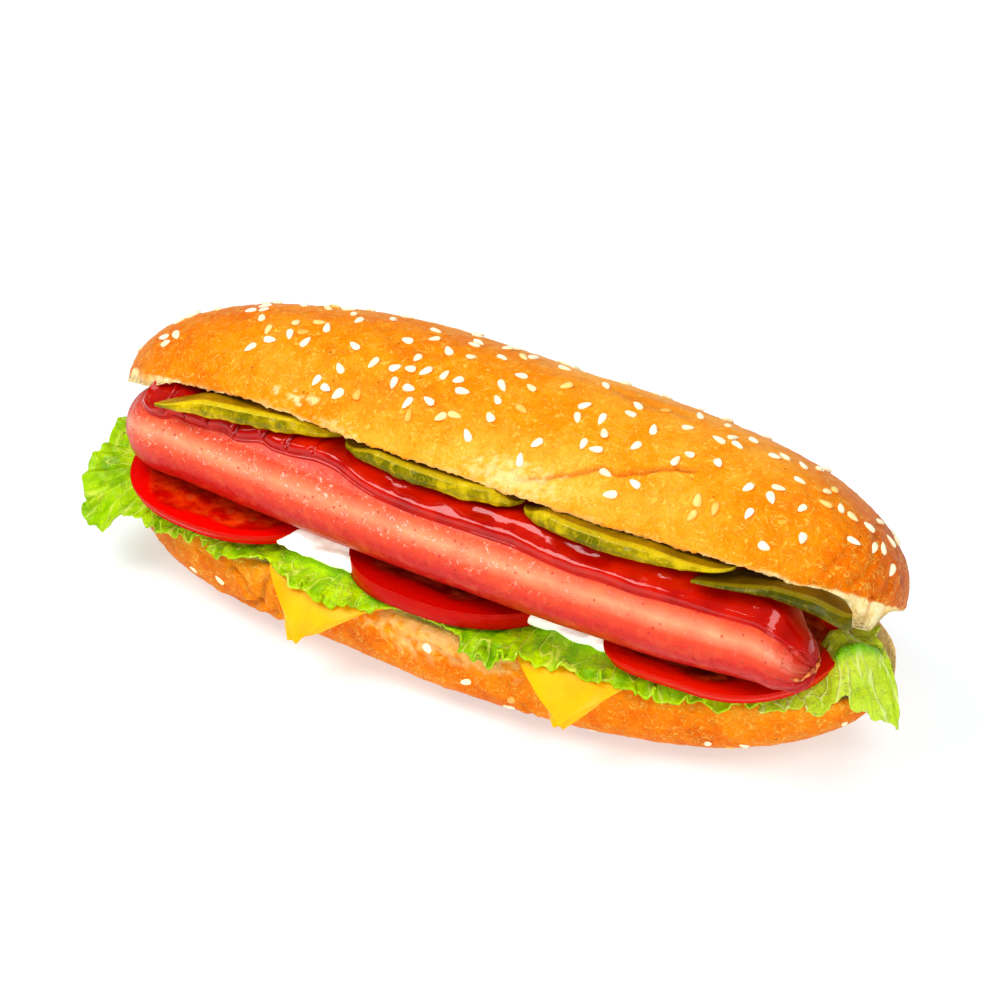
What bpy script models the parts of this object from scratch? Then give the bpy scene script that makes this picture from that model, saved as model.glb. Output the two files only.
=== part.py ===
"""Cheese hot dog: a hinged sesame bun holding cheese, lettuce, tomato, mayonnaise, a frankfurter,
ketchup and pickle slices.

Every length below is in millimetres, and add_solid turns it into metres. +X runs along the bun,
-Y is its open front, +Z is up. The origin is the centre of the bun's flat underside.
"""
import math
import random

import bmesh
import bpy
import numpy as np
from mathutils import Vector
from mathutils.bvhtree import BVHTree

MM = 0.001

# Bun base: a shallow boat with a flat underside
BASE_HALF_LENGTH = 104.0
BASE_HALF_WIDTH = 32.2
BASE_CUT = 24.0                # height of the cut face along the open front
BASE_CUT_BACK = 31.0           # height of the cut face at the hinge
BASE_HINGE = 3.2               # extra half-width at the back, where the lid joins
BASE_WAIST = 14.0              # height of the widest line
BASE_LEFT_RISE = 5.0           # how far the widest line climbs towards each end
BASE_RIGHT_RISE = 9.0
BASE_CENTRE_Y = 2.6
BASE_RIGHT_SWEEP = 7.0         # the right end lies this much farther back

# Bun lid: a dome on a tilted chord that ends at the hinge
LID_HALF_LENGTH = 106.3
LID_CENTRE_X = -1.3
LID_HALF_CHORD = 35.0
LID_HEIGHT = 31.5
LID_TILT = math.radians(37.8)
LID_CENTRE_Y = 8.3
LID_CENTRE_Z = 46.5
LID_HOLLOW = 8.0               # depth of the hollow under the dome
LID_LEFT_DROOP = 2.8           # the left tip hangs this much lower
ROUNDNESS = 2.3                # superellipse power of the bun's sections

# Sesame seeds: length, width and thickness of one, and how many lie on each half
SEED = (3.3, 2.0, 1.3)
LID_SEEDS = 160
BASE_SEEDS = 24
SEED_SPACING = 6.5

# Frankfurter
SAUSAGE_RADIUS = 12.5
SAUSAGE_LEFT = -99.0
SAUSAGE_RIGHT = 95.5
SAUSAGE_Y = -17.2
SAUSAGE_Z = 46.8
SAUSAGE_BOW = 6.5              # its left end lies this much farther back than its middle
SAUSAGE_TIP = (-4.0, -5.0)     # how far the right tip is bent forward and down
SAUSAGE_SAG = 2.5              # how far its left end hangs down

# Layers between the base and the frankfurter
CHEESE_BOTTOM = 24.5
CHEESE_THICKNESS = 2.0
LEAF_THICKNESS = 0.7


def signed_power(value, exponent):
    return math.copysign(abs(value) ** exponent, value)


def smoothstep(value):
    t = min(max(value, 0.0), 1.0)
    return t * t * (3 - 2 * t)


def bump(value, centre, spread):
    return math.exp(-((value - centre) / spread) ** 2)


def end_taper(t, left_power, right_power):
    """1 along the middle of a loaf, falling to 0 at t = -1 and t = 1."""
    power = left_power if t < 0 else right_power
    return math.sqrt(max(0.0, 1 - abs(t) ** power))


def end_stations(count, left, right):
    """Positions along X, closer together towards the two ends."""
    middle, half = (left + right) / 2, (right - left) / 2
    inset = 0.06
    angles = [inset + (math.pi - 2 * inset) * i / (count - 1) for i in range(count)]
    return [middle - half * math.cos(a) for a in angles]


# ---------------------------------------------------------------- meshes and materials

def material(name, colour, roughness):
    made = bpy.data.materials.new(name)
    made.use_nodes = True
    shader = made.node_tree.nodes["Principled BSDF"]
    shader.inputs["Base Color"].default_value = (*colour, 1)
    shader.inputs["Roughness"].default_value = roughness
    shader.inputs["Metallic"].default_value = 0
    made.diffuse_color = (*colour, 1)
    return made


def add_solid(name, points, faces, look):
    """One object from points in millimetres, with its faces turned outwards."""
    mesh = bpy.data.meshes.new(name)
    mesh.from_pydata([Vector(p) * MM for p in points], [], faces)
    shape = bmesh.new()
    shape.from_mesh(mesh)
    bmesh.ops.recalc_face_normals(shape, faces=shape.faces)
    shape.to_mesh(mesh)
    shape.free()
    mesh.materials.append(look)
    mesh.shade_smooth()
    made = bpy.data.objects.new(name, mesh)
    bpy.context.scene.collection.objects.link(made)
    return made


def loft(rings):
    """Points and triangles of a closed body through rings, with a fan closing each end."""
    size = len(rings[0])
    points = [tuple(p) for ring in rings for p in ring]
    faces = []
    for i in range(len(rings) - 1):
        for j in range(size):
            k = (j + 1) % size
            a, b, c, d = i * size + j, i * size + k, (i + 1) * size + k, (i + 1) * size + j
            faces += [(a, b, c), (a, c, d)]
    for start in (0, (len(rings) - 1) * size):
        ring = points[start:start + size]
        points.append(tuple(np.mean(ring, axis=0)))
        faces += [(start + j, start + (j + 1) % size, len(points) - 1) for j in range(size)]
    return points, faces


def sheet(rows, thickness):
    """A thin solid from rows of points on its lower face, thickened along the surface's normals."""
    grid = np.array(rows)
    along = np.gradient(grid, axis=0)
    across = np.gradient(grid, axis=1)
    normals = np.cross(along, across)
    normals /= np.linalg.norm(normals, axis=2, keepdims=True)
    if normals[:, 0, 2].mean() < 0:
        normals = -normals
    count, width = grid.shape[:2]
    lower = grid.reshape(-1, 3).tolist()
    upper = (grid + normals * thickness).reshape(-1, 3).tolist()
    top = len(lower)
    faces = []
    for i in range(count - 1):
        for j in range(width - 1):
            a, b, c, d = i * width + j, i * width + j + 1, (i + 1) * width + j + 1, (i + 1) * width + j
            faces += [(a, b, c), (a, c, d), (top + a, top + b, top + c), (top + a, top + c, top + d)]
    rim = list(range(width))
    rim += [i * width + width - 1 for i in range(1, count)]
    rim += [(count - 1) * width + j for j in range(width - 2, -1, -1)]
    rim += [i * width for i in range(count - 2, 0, -1)]
    for start, end in zip(rim, rim[1:] + rim[:1]):
        faces += [(start, end, top + end), (start, top + end, top + start)]
    return lower + upper, faces


# ---------------------------------------------------------------- bun

def base_centre(x):
    """Y of the base's centre line, which sweeps back at the right end."""
    return BASE_CENTRE_Y + BASE_RIGHT_SWEEP * max(0.0, x / BASE_HALF_LENGTH) ** 2.2


def base_width(x):
    return BASE_HALF_WIDTH * end_taper(x / BASE_HALF_LENGTH, 3.0, 2.6)


def base_front(x):
    """Y of the base's widest line along the open side."""
    return base_centre(x) - base_width(x)


def base_crust(x, side, angle):
    """A point of the base's crust: side -1 is the front, and angle runs from -90 (below) upwards."""
    t = x / BASE_HALF_LENGTH
    waist = BASE_WAIST + (BASE_LEFT_RISE if t < 0 else BASE_RIGHT_RISE) * abs(t) ** 3
    a = math.radians(angle)
    if angle > 0:
        power = 0.4
        rise = ((BASE_CUT if side < 0 else BASE_CUT_BACK) + 2.0 - waist) * end_taper(t, 5.0, 5.0)
    else:
        power = 2 / 2.4
        rise = 1.08 * waist * end_taper(t, 5.0, 3.0)
    width = base_width(x) * (1 + max(0, side) * BASE_HINGE / BASE_HALF_WIDTH)
    y = base_centre(x) + side * width * math.cos(a) ** power
    z = waist + rise * signed_power(math.sin(a), power)
    return (x, y, max(z, 0.0))


def base_ring(x):
    """Section of the base: down its front, along the underside, up its back, across the cut."""
    angles = (39, 26, 12, 0, -22, -42, -58, -70)
    ring = [base_crust(x, -1, a) for a in angles]
    ring.append((x, base_centre(x), base_crust(x, 1, -90)[2]))
    ring += [base_crust(x, 1, a) for a in reversed(angles)]
    front, back = ring[0], ring[-1]
    for part in (0.94, 0.87, 0.8, 0.4, 0.12):
        y = front[1] + (back[1] - front[1]) * part
        z = front[2] + (back[2] - front[2]) * smoothstep((part - 0.8) / 0.2)
        ring.append((x, y, z))
    return ring


def lid_edge_lift(x):
    """The front edge of the lid is uneven: it rises to the left and sags in the middle."""
    return 2.4 * bump(x, -58, 22) - 1.1 * bump(x, 30, 30)


def lid_share(x):
    """Position along the lid, from -1 at its left tip to 1 at its right end."""
    return (x - LID_CENTRE_X) / LID_HALF_LENGTH


def lid_point(x, forward, up):
    """From distances along and above the lid's chord to a point."""
    lift = lid_edge_lift(x) * max(0.0, forward / LID_HALF_CHORD) ** 2
    lift -= LID_LEFT_DROOP * max(0.0, -lid_share(x)) ** 5
    y = LID_CENTRE_Y - forward * math.cos(LID_TILT) + up * math.sin(LID_TILT)
    z = LID_CENTRE_Z + forward * math.sin(LID_TILT) + up * math.cos(LID_TILT) + lift
    return (x, y, z)


def lid_half_chord(x):
    """Half the lid's width, which stays broad until close to its ends."""
    return LID_HALF_CHORD * end_taper(lid_share(x), 3.6, 7.0)


def lid_crust(x, angle):
    """A point of the dome: angle 0 is its front edge and 180 the hinge."""
    a = math.radians(angle)
    forward = lid_half_chord(x) * signed_power(math.cos(a), 2 / ROUNDNESS)
    up = LID_HEIGHT * end_taper(lid_share(x), 2.4, 3.6) * abs(math.sin(a)) ** (2 / ROUNDNESS)
    return lid_point(x, forward, up)


def lid_ring(x):
    """Section of the lid: over the dome from front to back, then back under its hollow."""
    ring = [lid_crust(x, a) for a in range(0, 181, 15)]
    for part in (-0.93, -0.75, -0.4, 0.0, 0.4, 0.75, 0.93):
        depth = LID_HOLLOW * (1 - part ** 4) * end_taper(lid_share(x), 3.0, 3.6) - 0.8
        ring.append(lid_point(x, lid_half_chord(x) * part, depth))
    return ring


def scatter(rng, count, draw, spacing):
    """Spread count points drawn at random, none closer to another than spacing."""
    chosen = []
    for _ in range(count * 200):
        if len(chosen) == count:
            break
        key = draw(rng)
        spot = Vector(key[0])
        if all((spot - Vector(other[0])).length > spacing for other in chosen):
            chosen.append(key)
    return chosen


def draw_lid_seed(rng):
    x = LID_CENTRE_X + rng.uniform(-0.985, 0.985) * LID_HALF_LENGTH
    angle = rng.uniform(7, 172)
    return lid_crust(x, angle), rng.uniform(0, math.pi)


def draw_base_seed(rng):
    """Seeds on the base lie low on the crust, clear of the cheese and lettuce that hang over it."""
    x = rng.uniform(-0.93, 0.93) * BASE_HALF_LENGTH
    side = rng.choice((-1, -1, 1))
    angle = rng.uniform(-40, -12 if side < 0 else 25)
    return base_crust(x, side, angle), rng.uniform(0, math.pi)


def seed_points(spot, normal, turn):
    """A small flat-topped teardrop lying on the surface."""
    side = normal.orthogonal().normalized()
    along = side * math.cos(turn) + normal.cross(side) * math.sin(turn)
    across = normal.cross(along)
    length, width, thickness = SEED
    rings = []
    for t, size in ((-0.22, 1.0), (0.24, 0.78)):
        ring = []
        for k in range(4):
            a = math.tau * (k + 0.5) / 4
            point = spot + normal * 0.2 + along * (t * length)
            point += across * (0.65 * width * size * math.cos(a))
            point += normal * (0.65 * thickness * size * math.sin(a))
            ring.append(tuple(point))
        rings.append(ring)
    points, faces = loft(rings)
    points[-2] = tuple(spot + normal * 0.2 - along * (0.5 * length))
    points[-1] = tuple(spot + normal * 0.2 + along * (0.5 * length))
    return points, faces


def boolean_union(target, others):
    """Join others to target with one exact union on a collection, then remove them."""
    group = bpy.data.collections.new("joined")
    bpy.context.scene.collection.children.link(group)
    for other in others:
        bpy.context.scene.collection.objects.unlink(other)
        group.objects.link(other)
    union = target.modifiers.new("union", "BOOLEAN")
    union.operation = "UNION"
    union.operand_type = "COLLECTION"
    union.collection = group
    bpy.context.view_layer.update()
    graph = bpy.context.evaluated_depsgraph_get()
    joined = bpy.data.meshes.new_from_object(target.evaluated_get(graph))
    target.modifiers.remove(union)
    target.data = joined
    for other in others:
        bpy.data.objects.remove(other)
    bpy.data.collections.remove(group)


def build_bun(look):
    stations = end_stations(24, -BASE_HALF_LENGTH, BASE_HALF_LENGTH)
    bun = add_solid("bun", *loft([base_ring(x) for x in stations]), look)
    stations = end_stations(26, LID_CENTRE_X - LID_HALF_LENGTH, LID_CENTRE_X + LID_HALF_LENGTH)
    lid = add_solid("lid", *loft([lid_ring(x) for x in stations]), look)
    boolean_union(bun, [lid])
    bpy.context.view_layer.update()
    tree = BVHTree.FromObject(bun, bpy.context.evaluated_depsgraph_get())
    rng = random.Random(5)
    seeds = scatter(rng, LID_SEEDS, draw_lid_seed, SEED_SPACING)
    seeds += scatter(rng, BASE_SEEDS, draw_base_seed, SEED_SPACING)
    pieces = []
    for index, (spot, turn) in enumerate(seeds):
        hit, normal, _, _ = tree.find_nearest(Vector(spot) * MM)
        points, faces = seed_points(hit / MM, normal, turn)
        pieces.append(add_solid(f"seed_{index}", points, faces, look))
    boolean_union(bun, pieces)
    return bun


# ---------------------------------------------------------------- cheese

def hang(over, radius, fold):
    """How far out and down a sheet reaches, a length past the line where it starts to bend."""
    arc = radius * fold
    turn = min(over, arc) / radius
    rest = max(0.0, over - arc)
    out = radius * math.sin(turn) + rest * math.cos(fold)
    drop = radius * (1 - math.cos(turn)) + rest * math.sin(fold)
    return out, drop


CHEESE_FOLD_RADIUS = 5.0
CHEESE_FOLD = math.radians(45)
CHEESE_CORNERS = ((-36.5, 42.7, 7.0), (37.2, 40.8, -6.0))


def cheese_drape(x, y):
    """Height and position of a flat sheet's point once it is bent down over the base's edge."""
    fold = base_front(x) + 3.0
    over = fold - y
    if over <= 0:
        return (x, y, CHEESE_BOTTOM)
    out, drop = hang(over, CHEESE_FOLD_RADIUS, CHEESE_FOLD)
    return (x, fold - out, CHEESE_BOTTOM - drop)


def build_cheese(name, corner_x, reach, turn, look):
    """Half a square slice, with its right-angled corner hanging over the front."""
    angle = math.radians(turn)
    rows = []
    for depth in (0.9, 4, 8, 11, 14, 17, 20, 30):
        row = []
        for part in (-1, -0.5, 0, 0.5, 1):
            across, inward = depth * part, depth
            x = corner_x + across * math.cos(angle) + inward * math.sin(angle)
            y = -reach - across * math.sin(angle) + inward * math.cos(angle)
            row.append(cheese_drape(x, y))
        rows.append(row)
    return add_solid(name, *sheet(rows, CHEESE_THICKNESS), look)


# ---------------------------------------------------------------- lettuce

# name, where it starts and ends round the base's front (mm from the base's left tip), inner reach,
# then at both ends its length outside, the angle it folds down to and its height, and its waves
LEAVES = (
    ("lettuce_left", (-12, 47), 11, (17, 5.5), (34, 24), (25.2, 25.2), 9),
    ("lettuce_front_left", (49, 118), 16, (3.5, 6), (12, 4), (27.0, 27.0), 8),
    ("lettuce_front_right", (119, 199), 15, (4.5, 10), (4, 4), (27.0, 25.2), 9),
    ("lettuce_right", (201, 236), 12, (5, 12), (50, 84), (25.2, 25.2), 5),
)
LEAF_FOLD_RADIUS = 4.5
LEAF_FOLD_START = 2.2          # a leaf starts to bend this far inside the base's widest line


def base_line(degrees):
    """A point of the base's widest line: 0 is its left tip, 90 its front, 180 its right tip."""
    a = math.radians(degrees)
    power = 3.0 if math.cos(a) > 0 else 2.6
    x = -BASE_HALF_LENGTH * signed_power(math.cos(a), 2 / power)
    return Vector((x, base_centre(x) - BASE_HALF_WIDTH * math.sin(a)))


def base_outline():
    """A function from a distance round the base and a reach outside it to a point (x, y)."""
    angles = list(range(-80, 261))
    places = [base_line(a) for a in angles]
    travelled = [0.0]
    for before, after in zip(places, places[1:]):
        travelled.append(travelled[-1] + (after - before).length)
    start = travelled[angles.index(0)]

    def outline(distance, reach):
        angle = float(np.interp(distance + start, travelled, angles))
        along = (base_line(angle + 1) - base_line(angle - 1)).normalized()
        return base_line(angle) + Vector((along.y, -along.x)) * reach
    return outline


def build_leaf(name, span, inner, length, fold, height, waves, look):
    """A thin leaf over the base's edge: flat inside, frilled and folded down outside."""
    outline = base_outline()
    columns = waves * 3 + 1
    rows = []
    for i in range(columns):
        share = i / (columns - 1)
        phase = math.tau * waves * share
        turn = smoothstep((share - 0.4) / 0.45)
        beyond = length[0] + (length[1] - length[0]) * turn
        beyond *= math.sin(math.pi * min(max(share, 0.04), 0.96)) ** 0.35
        beyond += 0.8 * math.sin(phase * 0.5)
        angle = math.radians(fold[0] + (fold[1] - fold[0]) * turn)
        level = height[0] + (height[1] - height[0]) * smoothstep((share - 0.87) / 0.1)
        row = []
        for part in (0.0, 0.62, 0.84, 1.0):
            reach = -inner + (inner + beyond) * part
            frill = 1.6 * smoothstep((reach + 1.0) / (beyond + 1.0)) * math.sin(phase)
            over = reach + LEAF_FOLD_START
            drop = 0.0
            if over > 0:
                out, drop = hang(over, LEAF_FOLD_RADIUS, angle)
                reach = out - LEAF_FOLD_START
            spot = outline(span[0] + (span[1] - span[0]) * share, reach)
            row.append((spot.x, spot.y, level + abs(frill) * 0.3 + frill - drop))
        rows.append(row)
    return add_solid(name, *sheet(rows, LEAF_THICKNESS), look)


# ---------------------------------------------------------------- tomato

# centre x and y, half length and half depth, lower and upper height, and lobe phase of each slice
TOMATOES = (
    (-68.8, -3.2, 31.6, 26.6, 29.9, 33.5, 0.2),
    (-3.2, -3.0, 31.2, 27.5, 28.6, 33.7, 1.7),
    (67.3, -2.0, 27.6, 26.4, 30.1, 33.7, 3.1),
)


def tomato_rim(index, angle, inset):
    """A point (x, y) this far inside the slice's uneven outline."""
    x, y, half_length, half_depth, _, _, phase = TOMATOES[index]
    uneven = 1 + 0.010 * math.sin(3 * angle + phase) + 0.006 * math.sin(5 * angle)
    return (x + (half_length * uneven - inset) * math.cos(angle),
            y + (half_depth * uneven - inset) * math.sin(angle))


def build_tomato(index, look):
    """A round slice whose rim bulges a little between its two cut faces."""
    bottom, top = TOMATOES[index][4:6]
    middle, half = (bottom + top) / 2, (top - bottom) / 2
    rings = []
    for inset, height in ((0.9, -1.0), (0.1, -0.45), (0.0, 0.2), (0.9, 1.0)):
        ring = [tomato_rim(index, math.tau * k / 24, inset) for k in range(24)]
        rings.append([(x, y, middle + half * height) for x, y in ring])
    return add_solid(f"tomato_{index + 1}", *loft(rings), look)


# ---------------------------------------------------------------- mayonnaise

def tomato_edge(index, y, side):
    """X of a tomato's edge at this y, on its right (1) or left (-1)."""
    x, centre_y, half_length, half_depth = TOMATOES[index][:4]
    return x + side * 1.016 * half_length * math.sqrt(max(0.0, 1 - ((y - centre_y) / (1.016 * half_depth)) ** 2))


def build_mayonnaise(name, left, right, width, look):
    """A blob that fills the wedge between two tomato slices."""
    rings = []
    for y in (-23.2, -22.4, -20.5, -17.5, -14, -10, -7.5, -6.4):
        start = tomato_edge(left, y, 1) + 0.4
        end = tomato_edge(right, y, -1) - 0.4
        size = math.sqrt(max(0.04, 1 - abs((y + 14.8) / 8.7) ** 4))
        centre = (start + end) / 2
        half = min((end - start) / 2, width / 2) * size
        ring = []
        for k in range(10):
            a = math.tau * k / 10
            ring.append((centre + half * signed_power(math.cos(a), 0.7), y,
                         31.1 + 2.6 * size * signed_power(math.sin(a), 0.7)))
        rings.append(ring)
    return add_solid(name, *loft(rings), look)


# ---------------------------------------------------------------- frankfurter and ketchup

def sausage_centre(x):
    """Centre line of the frankfurter as (y, z): bowed forward, with its right tip bent down."""
    bend = smoothstep((x - SAUSAGE_RIGHT + 14) / 14)
    y = SAUSAGE_Y + SAUSAGE_BOW * ((x - 38) / 120) ** 2 + SAUSAGE_TIP[0] * bend
    sag = SAUSAGE_SAG * smoothstep((SAUSAGE_LEFT + 22 - x) / 22)
    return y, SAUSAGE_Z + SAUSAGE_TIP[1] * bend - sag


def sausage_radius(x):
    """A blunt left end and a tapered, pinched right end."""
    from_left = (x - SAUSAGE_LEFT) / 17.0
    from_right = (SAUSAGE_RIGHT - x) / 17.0
    left = math.sqrt(max(0.0, 1 - max(0.0, 1 - from_left) ** 2.4))
    right = math.sqrt(max(0.0, 1 - max(0.0, 1 - from_right) ** 2.0))
    pinch = 1 - 0.16 * bump(x, SAUSAGE_RIGHT - 5.5, 2.0)
    return SAUSAGE_RADIUS * min(left, right) * pinch


def sausage_point(x, angle, out):
    """A point this far outside the frankfurter, at an angle round it from its front."""
    y, z = sausage_centre(x)
    reach = sausage_radius(x) + out
    return (x, y - reach * math.cos(angle), z + reach * math.sin(angle))


def build_sausage(look):
    rings = []
    for x in end_stations(24, SAUSAGE_LEFT, SAUSAGE_RIGHT):
        rings.append([sausage_point(x, math.tau * k / 14, 0) for k in range(14)])
    return add_solid("sausage", *loft(rings), look)


KETCHUP_TOP = 60.6              # pressed flat under the pickles


def ketchup_band(x):
    """First and last angle of the ketchup round the frankfurter, from its front, in degrees."""
    low = 46.5 + 13 * bump(x, -40, 15) + 3 * math.sin(x / 5.5)
    return low, 116 - 42 * smoothstep((-68 - x) / 18)


def build_ketchup(look):
    """A ribbon of sauce along the frankfurter's top: a ridge in front, thin under the pickles."""
    rings = []
    left, right = SAUSAGE_LEFT + 6, SAUSAGE_RIGHT - 9
    count = 6
    for x in end_stations(24, left, right):
        low, high = ketchup_band(x)
        near_end = smoothstep((max(left + 10 - x, x - right + 10)) / 10)
        clear = 0.5 + 0.5 * near_end
        outer, inner = [], []
        for k in range(count):
            part = k / (count - 1)
            angle = math.radians(low + (high - low) * part)
            ridge = 2.5 * (1 - smoothstep((part - 0.3) / 0.35)) * smoothstep(part / 0.2)
            _, y, z = sausage_point(x, angle, clear + 0.5 + ridge * (1 - 0.7 * near_end))
            outer.append((x, y, min(z, KETCHUP_TOP)))
            inner.append(sausage_point(x, angle, clear))
        rings.append(outer + inner[::-1])
    return add_solid("ketchup", *loft(rings), look)


# ---------------------------------------------------------------- pickles

# x and front y at both ends, bottom heights along it, width, how far the ends thin out, the end
# tapers' powers, and how obliquely the right end is cut
PICKLES = (
    ((-82.8, -24.8), (-33.8, -18.6), (62.8, 62.8, 62.8, 62.8), 12.5, (14, 14), (2.2, 2.2), 0.0),
    ((-33.0, -22.8), (16.6, -23.2), (62.8, 62.7, 62.7, 62.7), 13.5, (12, 8), (2.2, 3.0), 0.0),
    ((17.6, -25.2), (73.5, -25.4), (62.7, 62.7, 64.2, 65.2), 13.0, (8, 26), (3.0, 2.2), 0.0),
    ((65.0, -25.5), (102.3, -19.0), (62.2, 61.6, 59.4, 55.0), 8.0, (26, 0.1), (1.8, 9.0), 0.55),
)
PICKLE_KNOTS = (0.0, 0.5, 0.78, 1.0)   # where along a slice its bottom heights apply
PICKLE_THICKNESS = 4.4
PICKLE_TILT = math.radians(11)


def build_pickle(index, look):
    """A lengthwise slice with thin ends, its rind on the front and flat cut faces."""
    start, end, heights, width, thin, powers, slant = PICKLES[index]
    rings = []
    for x in end_stations(11, start[0], end[0]):
        share = (x - start[0]) / (end[0] - start[0])
        taper = end_taper(2 * share - 1, *powers)
        front = start[1] + (end[1] - start[1]) * share + (1 - taper) * 8.0
        bottom = float(np.interp(share, PICKLE_KNOTS, heights))
        full = min(smoothstep((x - start[0]) / thin[0]), smoothstep((end[0] - x) / thin[1]))
        half = PICKLE_THICKNESS / 2 * (0.2 + 0.8 * full)
        ring = []
        for along, up in ((0.06, -0.75), (0.0, 0.0), (0.06, 0.75), (0.2, 1.0), (0.6, 0.95), (1.0, 0.45),
                          (1.0, -0.45), (0.6, -0.95), (0.2, -1.0)):
            y = along * width * taper
            z = (up + 1) * half
            ring.append((x - slant * y * share ** 4,
                         front + y * math.cos(PICKLE_TILT) + z * math.sin(PICKLE_TILT),
                         bottom + z - y * math.sin(PICKLE_TILT)))
        rings.append(ring)
    return add_solid(f"pickle_{index + 1}", *loft(rings), look)


# ---------------------------------------------------------------- hot dog

def main():
    for leftover in list(bpy.data.objects):
        bpy.data.objects.remove(leftover)
    build_bun(material("crust", (0.78, 0.36, 0.06), 0.55))
    build_sausage(material("frankfurter", (0.72, 0.26, 0.17), 0.35))
    build_ketchup(material("ketchup", (0.40, 0.010, 0.008), 0.12))
    gherkin = material("pickle", (0.30, 0.34, 0.03), 0.35)
    for index in range(len(PICKLES)):
        build_pickle(index, gherkin)
    tomato = material("tomato", (0.68, 0.05, 0.02), 0.25)
    for index in range(len(TOMATOES)):
        build_tomato(index, tomato)
    cream = material("mayonnaise", (0.93, 0.90, 0.80), 0.2)
    build_mayonnaise("mayonnaise_1", 0, 1, 21.0, cream)
    build_mayonnaise("mayonnaise_2", 1, 2, 19.0, cream)
    yellow = material("cheese", (0.95, 0.56, 0.03), 0.35)
    for index, corner in enumerate(CHEESE_CORNERS):
        build_cheese(f"cheese_{index + 1}", *corner, yellow)
    green = material("lettuce", (0.42, 0.60, 0.06), 0.4)
    for leaf in LEAVES:
        build_leaf(*leaf, green)


main()
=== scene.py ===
"""The looks of a cheese hot dog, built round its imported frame.

Shapes are worked out in millimetres in the frame's own axes (+X along the bun, -Y its open front,
+Z up) and turned into metres when a mesh is made. Angles in tables are in degrees, and colours are
red, green and blue from 0 to 255.
"""
import math
import random

import bmesh
import bpy
import numpy as np
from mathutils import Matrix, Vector, noise


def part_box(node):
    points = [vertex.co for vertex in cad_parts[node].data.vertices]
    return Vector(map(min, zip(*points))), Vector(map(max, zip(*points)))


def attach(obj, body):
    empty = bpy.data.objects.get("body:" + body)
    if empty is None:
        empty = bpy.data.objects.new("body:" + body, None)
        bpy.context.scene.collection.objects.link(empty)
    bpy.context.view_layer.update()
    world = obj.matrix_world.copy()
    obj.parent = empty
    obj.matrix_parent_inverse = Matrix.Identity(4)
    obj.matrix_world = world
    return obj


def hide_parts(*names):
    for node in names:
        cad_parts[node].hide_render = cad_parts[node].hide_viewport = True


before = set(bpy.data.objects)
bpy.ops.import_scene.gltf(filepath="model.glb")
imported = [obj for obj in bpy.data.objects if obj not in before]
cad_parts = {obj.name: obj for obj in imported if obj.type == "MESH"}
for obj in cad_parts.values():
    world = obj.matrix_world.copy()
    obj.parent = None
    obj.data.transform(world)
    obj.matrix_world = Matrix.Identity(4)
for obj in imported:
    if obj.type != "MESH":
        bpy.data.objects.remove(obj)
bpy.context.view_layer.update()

MM = 0.001


# ---------------------------------------------------------------- numbers

def smoothstep(value):
    """0 below 0 and 1 above 1, with a smooth climb between."""
    t = np.clip(value, 0.0, 1.0)
    return t * t * (3 - 2 * t)


def rising(value, start, width):
    """0 up to the start, then a smooth climb to 1 over this width."""
    return smoothstep((value - start) / width)


def falling(value, end, width):
    """1 until this width before the end, then a smooth fall to 0 there."""
    return smoothstep((end - value) / width)


def bump(value, centre, spread):
    """A bell-shaped hill that is 1 at its centre."""
    return np.exp(-((value - centre) / spread) ** 2)


def positive(value):
    """The value, with 0 in place of anything below it."""
    return np.clip(value, 0.0, None)


def signed_power(value, exponent):
    """A power that keeps the value's sign."""
    return np.sign(value) * np.abs(value) ** exponent


def end_taper(t, left_power, right_power):
    """1 along the middle of a loaf, falling to 0 at t = -1 and t = 1."""
    power = np.where(t < 0, left_power, right_power)
    return np.sqrt(positive(1 - np.abs(t) ** power))


def end_stations(count, left, right, inset=0.012):
    """A column of positions along X, closer together towards the two ends."""
    angles = np.linspace(inset, math.pi - inset, count)
    return ((left + right) / 2 - (right - left) / 2 * np.cos(angles))[:, None]


def row(start, end, count):
    """A row of evenly spaced values."""
    return np.linspace(start, end, count)[None, :]


def turns(count):
    """A row of angles once round, in radians."""
    return row(0, math.tau, count + 1)[:, :-1]


def joined(*parts):
    """Points from their coordinates, each spread out to the shape that they share."""
    return np.stack(np.broadcast_arrays(*parts), axis=-1)


def between(keys, steps):
    """Rows between the keys, at steps counted along them from 0."""
    return joined(*(np.interp(steps, range(len(keys)), column) for column in np.transpose(keys)))


def grain(points, size, shift=0.0, octaves=2):
    """Smooth noise from about -1 to 1, with lumps of this size in millimetres."""
    spots = np.asarray(points, float)
    flat = (spots / size + shift).reshape(-1, 3)
    values = [noise.fractal(Vector(p), 1.0, 2.0, octaves) for p in flat]
    return np.array(values).reshape(spots.shape[:-1])


def ridged(points, size, shift, octaves, narrowness):
    """Narrow rounded ridges, 1 along their tops, that wander over the points."""
    return np.clip(1 - np.abs(grain(points, size, shift, octaves)) * narrowness, 0, 1) ** 3


def node_box(name):
    """Lowest and highest corner of a CAD node, in millimetres."""
    low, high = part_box(name)
    return np.array(low) / MM, np.array(high) / MM


# ---------------------------------------------------------------- meshes

def new_object(name, data):
    """An object in the scene that shows this mesh, lamp or camera."""
    made = bpy.data.objects.new(name, data)
    bpy.context.scene.collection.objects.link(made)
    return made


def closed_mesh(name, points, faces, paints):
    """A mesh from points in millimetres, faces turned outwards; paints become float attributes."""
    mesh = bpy.data.meshes.new(name)
    mesh.from_pydata(np.asarray(points) * MM, [], faces)
    shape = bmesh.new()
    shape.from_mesh(mesh)
    bmesh.ops.recalc_face_normals(shape, faces=shape.faces)
    shape.to_mesh(mesh)
    shape.free()
    for label, values in paints.items():
        made = mesh.attributes.new(label, "FLOAT", "POINT")
        made.data.foreach_set("value", np.asarray(values, np.float32).ravel())
    mesh.shade_smooth()
    return mesh


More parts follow.
